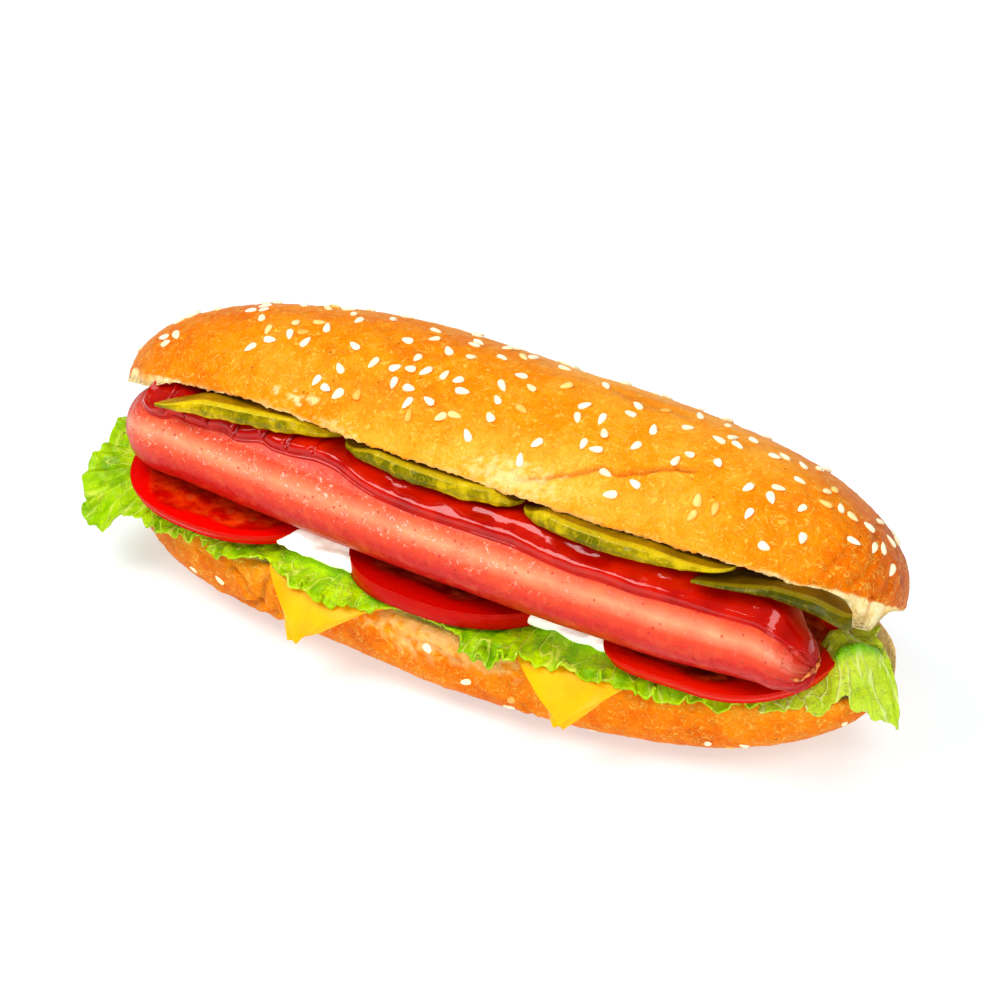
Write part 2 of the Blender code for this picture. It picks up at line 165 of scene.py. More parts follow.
def loft(name, rings, **paints):
    """A closed body through rings of points, with a fan over each end."""
    rings = np.asarray(rings, float)
    count, size = rings.shape[:2]
    index = np.arange(count * size).reshape(count, size)
    after = np.roll(index, -1, axis=1)
    quads = np.stack([index[:-1], after[:-1], after[1:], index[1:]], axis=-1).reshape(-1, 4).tolist()
    fans = [[a, b, count * size + end] for end in (0, 1) for a, b in zip(index[-end], after[-end])]
    points = np.concatenate([rings.reshape(-1, 3), [rings[0].mean(0)], [rings[-1].mean(0)]])
    full = {}
    for label, values in paints.items():
        values = np.broadcast_to(values, (count, size))
        full[label] = np.concatenate([values.ravel(), [values[0].mean(), values[-1].mean()]])
    return closed_mesh(name, points, quads + fans, full)


def surface_normals(grid, wrap=False):
    """Unit normals of a grid of points."""
    along = np.gradient(grid, axis=0)
    if wrap:
        across = np.roll(grid, -1, axis=1) - np.roll(grid, 1, axis=1)
    else:
        across = np.gradient(grid, axis=1)
    normals = np.cross(along, across)
    return normals / (np.linalg.norm(normals, axis=2, keepdims=True) + 1e-9)


def raised(rings, relief):
    """A closed grid's rings with their surface moved outwards by the relief."""
    normals = surface_normals(rings, wrap=True)
    away = rings - rings.mean(axis=1, keepdims=True)
    if (normals * away).sum() < 0:
        normals = -normals
    return rings + normals * relief[..., None]


def sheet(name, grid, relief, thickness, **paints):
    """A thin closed body: a grid moved by its relief, thickened to both sides, with its rim closed."""
    grid = grid + surface_normals(grid) * relief[..., None]
    offset = surface_normals(grid) * thickness / 2
    rows, columns = grid.shape[:2]
    index = np.arange(rows * columns).reshape(rows, columns)
    quads = np.stack([index[:-1, :-1], index[:-1, 1:], index[1:, 1:], index[1:, :-1]], axis=-1).reshape(-1, 4)
    faces = quads.tolist() + (quads[:, ::-1] + rows * columns).tolist()
    rim = np.concatenate([index[0], index[1:, -1], index[-1, -2::-1], index[-2:0:-1, 0]])
    below = rim + rows * columns
    faces += np.stack([np.roll(rim, -1), rim, below, np.roll(below, -1)], axis=-1).tolist()
    points = np.concatenate([(grid + offset).reshape(-1, 3), (grid - offset).reshape(-1, 3)])
    full = {label: np.tile(np.broadcast_to(v, (rows, columns)).ravel(), 2) for label, v in paints.items()}
    return closed_mesh(name, points, faces, full)


def strand(path, radii, sides=12):
    """A closed tube along a path of points."""
    along = np.gradient(path, axis=0)
    along /= np.linalg.norm(along, axis=1, keepdims=True)
    side = np.cross(along, (0.0, 0.0, 1.0))
    side /= np.linalg.norm(side, axis=1, keepdims=True)
    above = np.cross(side, along)
    angle = turns(sides)[..., None]
    around = side[:, None] * np.cos(angle) + above[:, None] * np.sin(angle)
    return loft("strand", path[:, None] + radii[:, None, None] * around)


def place(name, mesh, look, replaced):
    """Put a finished mesh in the scene as a piece that rides on the frame in place of a node."""
    made = new_object(name, mesh)
    mesh.materials.clear()
    mesh.materials.append(look)
    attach(made, "root")
    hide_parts(replaced)
    return made


def place_each(kind, slot, make_mesh, looks):
    """Numbered pieces of one kind, such as slices, each in place of the node with its number."""
    return [place(f"{slot}_{kind}_{number}", make_mesh(number - 1), look, f"{slot}_{number}")
            for number, look in enumerate(looks, 1)]


def plain_mesh(made):
    """The object's mesh with its modifiers applied; the object is removed."""
    bpy.context.view_layer.update()
    graph = bpy.context.evaluated_depsgraph_get()
    mesh = bpy.data.meshes.new_from_object(made.evaluated_get(graph))
    bpy.data.objects.remove(made)
    return mesh


def fused(name, parts, voxel, passes):
    """Closed meshes melted into one smooth body: remeshed at this size, then relaxed."""
    shape = bmesh.new()
    for part in parts:
        shape.from_mesh(part)
        bpy.data.meshes.remove(part)
    mesh = bpy.data.meshes.new(name)
    shape.to_mesh(mesh)
    shape.free()
    made = new_object(name, mesh)
    remesh = made.modifiers.new("melt", "REMESH")
    remesh.mode = "VOXEL"
    remesh.voxel_size = voxel * MM
    relax = made.modifiers.new("relax", "SMOOTH")
    relax.iterations = passes
    relax.factor = 0.5
    melted = plain_mesh(made)
    melted.shade_smooth()
    return melted


# ---------------------------------------------------------------- materials

def srgb(red, green, blue):
    """A linear colour from its 0 to 255 values."""
    linear = [((c / 255 + 0.055) / 1.055) ** 2.4 if c > 10 else c / 255 / 12.92 for c in (red, green, blue)]
    return (*linear, 1.0)


class Nodes:
    """A node tree, with short ways to add to it."""

    def __init__(self, tree):
        """Keep the tree that the nodes go into."""
        self.tree = tree

    def add(self, kind, inputs, **settings):
        """A new node; inputs maps a socket's name or number to a value, a colour or another's socket."""
        made = self.tree.nodes.new(kind)
        for key, value in settings.items():
            setattr(made, key, value)
        for key, value in inputs.items():
            if isinstance(value, bpy.types.NodeSocket):
                self.tree.links.new(value, made.inputs[key])
            else:
                made.inputs[key].default_value = value
        return made

    def result(self, kind, inputs, **settings):
        """The first output of a new node."""
        return self.add(kind, inputs, **settings).outputs[0]

    def maths(self, how, first, second):
        """Two numbers brought together, such as by MULTIPLY."""
        return self.result("ShaderNodeMath", {0: first, 1: second}, operation=how)

    def ranged(self, value, low, high, new_low=0.0, new_high=1.0):
        """A smooth climb from new_low to new_high while the value goes from low to high."""
        inputs = {"Value": value, "From Min": low, "From Max": high, "To Min": new_low, "To Max": new_high}
        return self.result("ShaderNodeMapRange", inputs, interpolation_type="SMOOTHSTEP")

    def near_middle(self, value, width):
        """1 where a noise is at its middle value, 0 this far from it: thin wandering lines."""
        off = self.maths("ABSOLUTE", self.maths("SUBTRACT", value, 0.5), 0.0)
        return self.ranged(off, width, 0.0)


def shared_effect(name, inputs, mask):
    """A shader group that puts out a mask, from float inputs given with their usual values."""
    tree = bpy.data.node_groups.new(name, "ShaderNodeTree")
    for label, value in {"Size": 3.0, **inputs, "Shift": 0.0}.items():
        socket = tree.interface.new_socket(label, in_out="INPUT", socket_type="NodeSocketFloat")
        socket.default_value = value
    tree.interface.new_socket("Mask", in_out="OUTPUT", socket_type="NodeSocketFloat")
    nodes = Nodes(tree)
    given = tree.nodes.new("NodeGroupInput").outputs
    on_piece = nodes.add("ShaderNodeTexCoord", {}).outputs["Object"]
    share = nodes.maths("DIVIDE", 1 / MM, given["Size"])
    scaled = nodes.result("ShaderNodeVectorMath", {0: on_piece, "Scale": share}, operation="SCALE")
    spot = nodes.result("ShaderNodeVectorMath", {0: scaled, 1: given["Shift"]}, operation="ADD")
    tree.links.new(mask(nodes, spot, given), tree.nodes.new("NodeGroupOutput").inputs["Mask"])
    return tree


def patch_mask(nodes, spot, given):
    """Soft uneven patches: 1 where the noise is above High, 0 below Low."""
    value = nodes.result("ShaderNodeTexNoise", {"Vector": spot, "Scale": 1.0, "Detail": 3.0})
    return nodes.ranged(value, given["Low"], given["High"])


def thread_mask(nodes, spot, given):
    """Thin curling lines, as on a dry crust or in a leaf's net of veins."""
    inputs = {"Vector": spot, "Scale": 1.0, "Detail": 2.0, "Distortion": 1.2}
    return nodes.near_middle(nodes.result("ShaderNodeTexNoise", inputs), given["Width"])


def spot_mask(nodes, spot, given):
    """Round spots of one size: pores, specks and seeds."""
    distance = nodes.add("ShaderNodeTexVoronoi", {"Vector": spot, "Scale": 1.0}).outputs["Distance"]
    edge = nodes.maths("ADD", given["Radius"], given["Softness"])
    return nodes.ranged(distance, edge, given["Radius"])


EFFECTS = {
    "patches": shared_effect("uneven_patches", {"Low": 0.4, "High": 0.6}, patch_mask),
    "threads": shared_effect("curling_threads", {"Width": 0.02}, thread_mask),
    "spots": shared_effect("round_spots", {"Radius": 0.3, "Softness": 0.1}, spot_mask),
}


class Look(Nodes):
    """A material in the making: its shader, and the colour laid on so far."""

    def __init__(self, name, **values):
        """Start a material, with its shader's fixed values."""
        self.material = bpy.data.materials.new(name)
        self.material.use_nodes = True
        super().__init__(self.material.node_tree)
        self.shader = self.tree.nodes["Principled BSDF"]
        self.colour = None
        for label, value in values.items():
            self.shader.inputs[label.replace("_", " ")].default_value = value

    def effect(self, name, **values):
        """One of the shared effects, with its own values."""
        made = self.add("ShaderNodeGroup", {}, node_tree=EFFECTS[name])
        for label, value in values.items():
            made.inputs[label].default_value = value
        return made.outputs[0]

    def patches(self, size, low=0.3, high=0.7, shift=0.0):
        """Soft uneven patches of this size in millimetres."""
        return self.effect("patches", Size=size, Low=low, High=high, Shift=shift)

    def threads(self, size, width, shift=0.0):
        """Thin curling lines."""
        return self.effect("threads", Size=size, Width=width, Shift=shift)

    def spots(self, size, radius, softness, shift=0.0):
        """Round spots, their radius and soft edge as shares of the size."""
        return self.effect("spots", Size=size, Radius=radius, Softness=softness, Shift=shift)

    def painted(self, name):
        """What the mesh carries under this name."""
        return self.add("ShaderNodeAttribute", {}, attribute_name=name).outputs["Fac"]

    def times(self, first, second):
        """One mask or number times another."""
        return self.maths("MULTIPLY", first, second)

    def mix(self, mask, first, second):
        """The second colour over the first, where the mask is."""
        first, second = (srgb(*c) if isinstance(c, tuple) else c for c in (first, second))
        made = self.add("ShaderNodeMix", {0: mask, 6: first, 7: second}, data_type="RGBA")
        return made.outputs[2]

    def ramp(self, value, *stops):
        """A colour that changes with a value, through stops of (value, colour)."""
        made = self.add("ShaderNodeValToRGB", {0: value})
        elements = made.color_ramp.elements
        while len(elements) < len(stops):
            elements.new(0.5)
        for element, (position, colour) in zip(elements, stops):
            element.position = position
            element.color = srgb(*colour)
        return made.outputs[0]

    def clouds(self, size, first, second, low=0.3, high=0.7):
        """Start the colour as two that drift into each other."""
        self.colour = self.mix(self.patches(size, low, high), first, second)

    def lay(self, mask, colour, strength=None):
        """Lay a colour over what is there, where the mask is."""
        if strength:
            mask = self.times(mask, strength)
        self.colour = self.mix(mask, self.colour, colour)

    def finish(self, *relief):
        """Join the colour and the layers of relief, each a height and a depth in millimetres."""
        self.tree.links.new(self.colour, self.shader.inputs["Base Color"])
        below = {}
        for height, depth in relief:
            inputs = {"Height": height, "Distance": depth * MM, "Strength": 1.0, **below}
            below = {"Normal": self.result("ShaderNodeBump", inputs)}
        self.tree.links.new(below["Normal"], self.shader.inputs["Normal"])
        return self.material


def cloudy_look(name, clouds, relief, depth, **values):
    """A material of two colours that drift into each other, with one layer of soft relief."""
    look = Look(name, **values)
    look.clouds(*clouds)
    return look.finish((look.patches(*relief), depth))


def translucent(weight, depth, reach=(1.0, 0.2, 0.1)):
    """Shader values for light that goes in: how much, how deep in millimetres, and how far by colour."""
    return {"Subsurface_Weight": weight, "Subsurface_Scale": depth * MM, "Subsurface_Radius": reach}


# ---------------------------------------------------------------- bun

BASE_HALF_LENGTH, BASE_HALF_WIDTH = 104.0, 32.2
# powers that round the base's left and right end, seen from above
BASE_ENDS = (3.0, 2.6)
# heights of the cut at the front and the back, and of the widest line with its climb to both ends
BASE_CUT, BASE_CUT_BACK, BASE_WAIST = 24.0, 31.0, 14.0
BASE_LEFT_RISE, BASE_RIGHT_RISE = 5.0, 9.0
# how far the crust curls over the cut, how much deeper than the floor it would bulge before it is
# pressed flat, the powers of its curve above and below, and how much wider it is at the hinge
BASE_CURL, BASE_BULGE, BASE_ABOVE, BASE_BELOW, BASE_HINGE = 2.0, 1.08, 0.4, 2 / 2.4, 3.2
BASE_CENTRE_Y, BASE_RIGHT_SWEEP, BASE_SWEEP_POWER = 2.6, 7.0, 2.2
LID_HALF_LENGTH, LID_CENTRE_X = 106.7, -1.7
LID_HALF_CHORD, LID_HEIGHT, LID_TILT = 35.0, 31.5, math.radians(37.8)
LID_CENTRE_Y, LID_CENTRE_Z = 8.3, 46.5
LID_HOLLOW, LID_LEFT_DROOP = 8.0, 2.8
# how far the front edge lifts or drops: at x, over this spread
LID_EDGE_LIFTS = ((2.4, -58, 22), (-1.1, 30, 30))
# from this x on, the crumb under the lid's right end is smoother
SMOOTH_CRUMB_FROM, CRUMB_SMOOTHING = 84, 0.7
ROUNDNESS = 2.3
# how many stations along each half and points round it: over the dome and under it, then down the
# base's front, up its back and across its cut
LID_STATIONS, DOME_POINTS, UNDER_POINTS = 380, 118, 68
BASE_STATIONS, FRONT_POINTS, BACK_POINTS, CUT_POINTS = 340, 62, 44, 54
# angles between which the base's front and back crust run
CRUST_TOP, CRUST_FOOT = 39, -70
# the dome angle past which there are half as many seeds
THIN_SEEDS_FROM = 80


def base_centre(x):
    """The y of the base's middle line, which bends back towards the right end."""
    return BASE_CENTRE_Y + BASE_RIGHT_SWEEP * positive(x / BASE_HALF_LENGTH) ** BASE_SWEEP_POWER


def base_width(x):
    """Half the base's width."""
    return BASE_HALF_WIDTH * end_taper(x / BASE_HALF_LENGTH, *BASE_ENDS)


def base_front(x):
    """The y of the base's front edge."""
    return base_centre(x) - base_width(x)


def base_crust(x, side, angle):
    """Points of the base's crust: side -1 is the front, and angle runs from -90 (below) upwards."""
    t = x / BASE_HALF_LENGTH
    waist = BASE_WAIST + np.where(t < 0, BASE_LEFT_RISE, BASE_RIGHT_RISE) * np.abs(t) ** 3
    a = np.radians(angle)
    cut = BASE_CUT if side < 0 else BASE_CUT_BACK
    above = (cut + BASE_CURL - waist) * end_taper(t, 5.0, 5.0)
    below = BASE_BULGE * waist * end_taper(t, 5.0, 3.0)
    power = np.where(angle > 0, BASE_ABOVE, BASE_BELOW)
    width = base_width(x) * (1 + max(0, side) * BASE_HINGE / BASE_HALF_WIDTH)
    y = base_centre(x) + side * width * np.abs(np.cos(a)) ** power
    z = waist + np.where(angle > 0, above, below) * signed_power(np.sin(a), power)
    return joined(x, y, positive(z))


def lid_share(x):
    """-1 at the lid's left end, 1 at its right end."""
    return (x - LID_CENTRE_X) / LID_HALF_LENGTH


def lid_point(x, forward, up):
    """From distances along and above the lid's chord to points."""
    edge = sum(lift * bump(x, middle, spread) for lift, middle, spread in LID_EDGE_LIFTS)
    lift = edge * positive(forward / LID_HALF_CHORD) ** 2 - LID_LEFT_DROOP * positive(-lid_share(x)) ** 5
    y = LID_CENTRE_Y - forward * math.cos(LID_TILT) + up * math.sin(LID_TILT)
    z = LID_CENTRE_Z + forward * math.sin(LID_TILT) + up * math.cos(LID_TILT) + lift
    return joined(x, y, z)


def lid_half_chord(x):
    """Half the lid's width, along its tilted chord."""
    return LID_HALF_CHORD * end_taper(lid_share(x), 3.6, 7.0)


def lid_crust(x, angle):
    """Points of the dome: angle 0 is its front edge and 180 the hinge."""
    a = np.radians(angle)
    forward = lid_half_chord(x) * signed_power(np.cos(a), 2 / ROUNDNESS)
    up = LID_HEIGHT * end_taper(lid_share(x), 2.4, 3.6) * np.abs(np.sin(a)) ** (2 / ROUNDNESS)
    return lid_point(x, forward, up * (1 + 0.04 * bump(x, -45, 45)))


def lid_underside(x):
    """Points of the cut face under the lid, from the hinge to the front edge."""
    part = -0.96 + 1.945 * (1 - (1 - row(0, 1, UNDER_POINTS)) ** 1.5)
    hollow = LID_HOLLOW * (1 - part ** 4) * end_taper(lid_share(x), 3.0, 3.6) - 0.8
    # towards both ends the crumb hangs below the crust's front edge
    hanging = 2.6 * falling(x, -82, 12) + 6.0 * rising(x, 84, 12)
    hanging = hanging * falling(np.abs(lid_share(x)), 1, 0.02) * rising(part, 0.55, 0.3)
    return lid_point(x, lid_half_chord(x) * part, hollow - hanging)


def distance_to_path(points, path):
    """Distance of each point from a polyline."""
    best = np.full(points.shape[:-1], 1e9)
    for start, end in zip(path[:-1], path[1:]):
        step = end - start
        share = np.clip(((points - start) @ step) / (step @ step), 0, 1)
        best = np.minimum(best, np.linalg.norm(points - start - share[..., None] * step, axis=-1))
    return best


# x and dome angle of the points that each crease in the lid runs through, its width and its depth
LID_CREASES = (
    (((15, 4), (21, 8), (27, 13), (34, 20), (39, 20), (45, 25), (51, 32), (56, 34)), 0.7, 1.1),
    (((-60, 2), (-61, 14), (-58, 26), (-59, 36)), 0.9, 0.25),
    (((-36, 58), (-30, 50), (-22, 47), (-17, 50)), 1.6, 0.35),
    (((98, 8), (100, 30), (98, 60), (93, 95)), 1.0, 0.4),
    (((102, 4), (103.5, 30), (102, 70)), 0.9, 0.35),
    (((93, 12), (95, 32), (93, 48)), 1.0, 0.25),
    (((26, 70), (34, 66), (44, 70)), 1.8, 0.3),
)
# the same on the base's front, with angles below the widest line as negative
BASE_CREASES = (
    (((-66, -30), (-57, -18), (-52, 0), (-50, 25)), 1.1, 1.1),
    (((-52, -50), (-46, -25), (-43, 5), (-43, 28)), 1.0, 1.0),
    (((-62, 14), (-56, -2), (-49, -8), (-45, -6)), 0.7, 0.6),
    (((-48, 26), (-46, 10), (-48, -8), (-53, -26)), 0.7, 0.6),
    (((-74, 6), (-67, 2), (-60, 8)), 0.6, 0.4),
    (((23.5, -38), (24.5, -20), (23, -8)), 0.6, 0.6),
    (((-14, 20), (-9, 8), (-2, 10), (6, 4)), 0.9, 0.5),
)
# how far a crease wanders off its path, and the height of the low ridges along both its sides
CREASE_WANDER, CREASE_RIDGE = 0.5, 0.45


def crease_depth(points, creases, on_surface):
    """How deep the creases are at each point."""
    depth = np.zeros(points.shape[:-1])
    for keys, width, full in creases:
        steps = np.linspace(0, len(keys) - 1, 6 * len(keys))
        path = on_surface(*between(keys, steps).T)
        path = path + CREASE_WANDER * joined(*(grain(path, 4, 3.0 + axis) for axis in range(3)))
        near = distance_to_path(points, path)
        depth += full * (bump(near, 0, width) - CREASE_RIDGE * bump(near, 2.2 * width, 1.4 * width))
    return depth


def crust_relief(points):
    """Gentle lumps, shallow wrinkles both ways and the fine roughness of a baked crust."""
    lumps = 0.50 * grain(points, 30, 1.0)
    wrinkles = 0.16 * ridged(points * (1.0, 1.6, 1.6), 11, 5.0, 3, 2.2)
    pleats = 0.14 * ridged(points * (2.2, 0.8, 0.8), 9, 15.0, 2, 2.6)
    return lumps + wrinkles + pleats + 0.07 * grain(points, 2.2, 7.0)


def crumb_relief(points):
    """The torn, open texture of a cut face."""
    holes = np.clip(np.abs(grain(points, 3.2, 2.0, 2)) * 2.0, 0, 1)
    return -0.35 * (1 - holes) ** 2 + 0.18 * grain(points, 1.8, 4.0, 2)


# x and dome angle of the middle of each flaked patch, its reach along three axes and its strength
FLAKES = (
    (14.0, 4.5, (11, 6, 3.0), 0.5),
    (-46.5, 6.0, (2.0, 1.5, 1.3), 0.8),
    (-42.0, 7.5, (1.6, 1.2, 1.4), 0.8),
    (-52.0, 6.0, (0.9, 1.0, 0.9), 0.7),
    (-34.0, 1.2, (4, 3, 1.2), 0.45),
)
# paler (below 0) or darker places of the lid: how much, then x and its spread, then z and its spread; the
# paler places along the dome's top are painted highlight
LID_TONES = ((-0.20, 25, 42, 70, 7), (-0.10, -22, 18, 70, 6), (-0.18, 14, 15, 70, 4))


def lid_flakes(points):
    """Where the lid's crust is thin or flaked off, all near its front edge."""
    total = np.zeros(points.shape[:-1])
    for x, angle, reach, strength in FLAKES:
        near = 1.1 - np.linalg.norm((points - lid_crust(x, angle)) / reach, axis=-1)
        ragged = rising(near + 1.2 * grain(points, 1.5, 9.0, 3), 0, 0.6)
        total = np.maximum(total, strength * ragged * rising(near, -0.9, 0.5))
    return total


def lid_bake(points):
    """How dark the lid's crust is: most along its back and right end, partly browning and partly painted
    shade, least at its lower middle, with a painted highlight along its top.
    """
    x, y, z = np.moveaxis(points, -1, 0)
    # darker along the back and at the right end: browning together with painted shade
    dark = 0.57 + 0.17 * rising(y, 12, 34) + 0.30 * bump(x, 108, 18) + 0.10 * bump(x, -90, 30)
    for amount, middle, spread, height, depth in LID_TONES:
        dark += amount * bump(x, middle, spread) * bump(z, height, depth)
    # paler along the dome's top: painted highlight
    return dark - 0.10 * bump(x, 50, 34) * rising(z, 68, 8) + 0.10 * grain(points, 24, 12.0, 3)


def lid_mesh():
    """The lid: its dome from the front edge to the hinge, then back under its hollow."""
    x = end_stations(LID_STATIONS, LID_CENTRE_X - LID_HALF_LENGTH, LID_CENTRE_X + LID_HALF_LENGTH)
    angle = 180 * row(0, 1, DOME_POINTS) ** 1.15
    dome, under = lid_crust(x, angle), lid_underside(x)
    rings = np.concatenate([dome, under], axis=1)
    outside = np.repeat([1.0, 0.0], [dome.shape[1], under.shape[1]])
    from_lip = np.linalg.norm(rings - rings[:, :1], axis=2)
    ragged = grain(rings, 1.7, 11.0, 3) * np.exp(-from_lip / 1.3) * (1 - 0.6 * rising(x, 88, 6))
    ends = rising(np.abs(x), 70, 20)
    lip = (0.35 + 0.65 * ends) * falling(from_lip, 0.5 + 1.2 * grain(rings, 5, 8.0), 0.8)
    torn = crumb_relief(rings) * (1 - CRUMB_SMOOTHING * rising(x, SMOOTH_CRUMB_FROM, 8))
    crease = outside * crease_depth(rings, LID_CREASES, lid_crust)
    flakes = lid_flakes(rings)
    relief = np.where(outside, crust_relief(rings), torn) - crease
    relief = relief + outside * flakes * (0.35 * grain(rings, 2.4, 6.0, 3) - 0.15)
    rings = raised(rings, relief + 0.55 * ragged)
    rings[..., 2] -= 0.9 * positive(ragged)
    behind = np.append(angle, np.zeros(under.shape[1])) > THIN_SEEDS_FROM
    seeding = outside * rising(from_lip, 3.5, 3) * (1 - flakes) * (1 - 0.5 * behind)
    crumb = np.maximum(1 - outside, np.maximum(lip, flakes))
    return loft("bun_lid", rings, crumb=crumb, bake=lid_bake(rings), crease=np.clip(crease, 0, 1),
                seeding=seeding)


def base_torn(points):
    """Where the base's crust is torn to flakes: along its front edge, a little left of the middle."""
    x, y, z = np.moveaxis(points, -1, 0)
    near = 1.1 - np.hypot((x - 1) / 22, (z - 23) / 5.5) - 3 * rising(y, -12, 6)
    return 0.38 * rising(near + 1.0 * grain(points, 2.2, 9.0, 3), 0, 0.6)


def base_rings(x):
    """The base's rings, down its front, along the underside, up its back, then across the cut."""
    under = joined(x, base_centre(x), base_crust(x, 1, -90.0)[..., 2])
    front = base_crust(x, -1, row(CRUST_TOP, CRUST_FOOT, FRONT_POINTS))
    back = base_crust(x, 1, row(CRUST_FOOT, CRUST_TOP, BACK_POINTS))
    crust = np.concatenate([front, under, back], axis=1)
    first, last = crust[:, :1], crust[:, -1:]
    part = row(0.985, 0.015, CUT_POINTS)[..., None]
    cut = first + (last - first) * part
    cut[..., 2] = first[..., 2] + (last - first)[..., 2] * rising(part[..., 0], 0.8, 0.2)
    outside = np.repeat([1.0, 0.0], [crust.shape[1], cut.shape[1]])
    return np.concatenate([crust, cut], axis=1), outside


def base_mesh():
    """The base, with its creases, its torn edge and its flat underside."""
    x = end_stations(BASE_STATIONS, -BASE_HALF_LENGTH, BASE_HALF_LENGTH)
    rings, outside = base_rings(x)
    from_edge = np.linalg.norm(rings - rings[:, :1], axis=2)
    torn = base_torn(rings)
    crease = outside * crease_depth(rings, BASE_CREASES, lambda x, angle: base_crust(x, -1, angle))
    relief = np.where(outside, crust_relief(rings), crumb_relief(rings)) - crease
    relief = relief + outside * torn * (1.1 * grain(rings, 1.9, 6.0, 3) - 0.35)
    relief = relief - 1.6 * outside * bump(x, -40, 24) * falling(rings[..., 2], 17, 8)
    rings = raised(rings, relief * rising(rings[..., 2], 0, 3.0))
    rings[..., 2] = positive(rings[..., 2])
    y, z = rings[..., 1], rings[..., 2]
    hinge = 0.6 * rising(x, 84, 8) * rising(y, 2, 6) * rising(z, 20, 3)
    lip = 0.6 * outside * falling(from_edge, 0.2 + 1.2 * grain(rings, 4, 8.0), 0.8)
    bake = 0.69 + 0.10 * grain(rings, 22, 13.0, 3) + 0.3 * falling(z, 5, 5) - 0.14 * rising(z, 15, 8)
    crumb = np.maximum(np.maximum(1 - outside, lip), np.maximum(torn, hinge))
    seeding = 0.30 * outside * rising(z, 3, 3) * falling(z, 21, 3)
    return loft("bun_base", rings, crumb=crumb, bake=bake, crease=np.clip(crease, 0, 1), seeding=seeding)


# colours of the crust from barely to darkly baked, which on the lid also carry its painted shade and
# highlight, and the mottles in its bake: size, shift, strength
CRUST_COLOURS = ((0.08, (255, 204, 104)), (0.32, (252, 170, 50)), (0.54, (243, 144, 6)),
                 (0.78, (228, 112, 0)), (1.0, (184, 74, 0)))
CRUST_MOTTLES = ((14, 0.0, 0.06), (3.5, 3.0, 0.05), (0.7, 6.0, 0.05))


def crust_look():
    """Golden baked crust with pale curling threads; cut and torn faces show cream crumb."""
    look = Look("golden_crust", Roughness=0.5, IOR=1.4, Specular_IOR_Level=0.10, Coat_Weight=0.03,
                Coat_Roughness=0.25)
    # this attribute carries the browning together with the lid's painted shade and painted highlight
    bake = look.painted("bake")
    for size, shift, reach in CRUST_MOTTLES:
        mottle = look.ranged(look.patches(size, shift=shift), 0, 1, -reach, reach)
        bake = look.maths("ADD", bake, mottle)
    look.colour = look.ramp(bake, *CRUST_COLOURS)
    hair = look.times(look.threads(2.2, 0.045, 4.0), look.patches(2.0, 0.44, 0.58, 8.0))
    fine = look.times(look.threads(4.0, 0.030), look.patches(3.0, 0.46, 0.60, 5.0))
    threads = look.maths("MAXIMUM", fine, hair)
    look.lay(threads, (255, 212, 100), 0.58)
    # painted shade: the crust is darkened along its creases
    look.lay(look.painted("crease"), (168, 74, 6), 0.6)
    pits = look.spots(5.5, 0.03, 0.05)
    look.lay(pits, (150, 66, 8), 0.6)
    holes = look.spots(1.5, 0.05, 0.35, 2.0)
    crumb = look.ramp(look.patches(3, 0.2, 0.8, 7.0), (0.0, (250, 214, 136)), (1.0, (255, 240, 188)))
    crumb = look.mix(look.times(holes, 0.16), crumb, (244, 196, 104))
    open_face = look.painted("crumb")
    look.lay(open_face, crumb)
    look.tree.links.new(look.ranged(open_face, 0, 1, 0.46, 0.95), look.shader.inputs["Roughness"])
    skin = look.patches(0.7, 0.15, 0.85, 1.0)
    folds = look.patches(5.0, 0.15, 0.85, 8.0)
    return look.finish((folds, 0.24), (skin, 0.12), (threads, 0.10), (pits, -0.15),
                       (look.times(holes, open_face), -0.15))


# ---------------------------------------------------------------- sesame seeds

SEED_LENGTH, SEED_WIDTH, SEED_THICKNESS = 3.6, 2.05, 1.2
SEED_LIFT, SEED_SPACING, SEEDS_PER_SQUARE_METRE = 0.25, 3.2, 21000.0
# least and most turn of a seed about its own axes, and its least and most size along them
SEED_TURNS = ((-0.16, -0.22, 0.0), (0.16, 0.22, math.tau))
SEED_SIZES = ((0.88, 0.86, 0.8), (1.1, 1.08, 1.1))
# the random draw for each half's seeds, and how toasted the palest of them is
SEEDED = {"lid": (4, 0.0), "base": (2, 0.7)}


def seed_shape():
    """One teardrop seed lying flat, its point towards +X, sunk a little into the crust."""
    t, angle = row(-1, 1, 9)[:, 1:-1].T, turns(8)
    width = SEED_WIDTH / 2 * np.sqrt(1 - t * t) * (1 - 0.34 * t)
    height = SEED_THICKNESS / 2 * np.sqrt(1 - t * t) * (1 - 0.25 * t)
    rings = joined(t * SEED_LENGTH / 2, width * np.cos(angle), SEED_LIFT + height * np.sin(angle))
    mesh = loft("sesame_seed", rings)
    mesh.vertices[-2].co.x = -SEED_LENGTH / 2 * MM
    mesh.vertices[-1].co.x = SEED_LENGTH / 2 * MM * 1.05
    return mesh


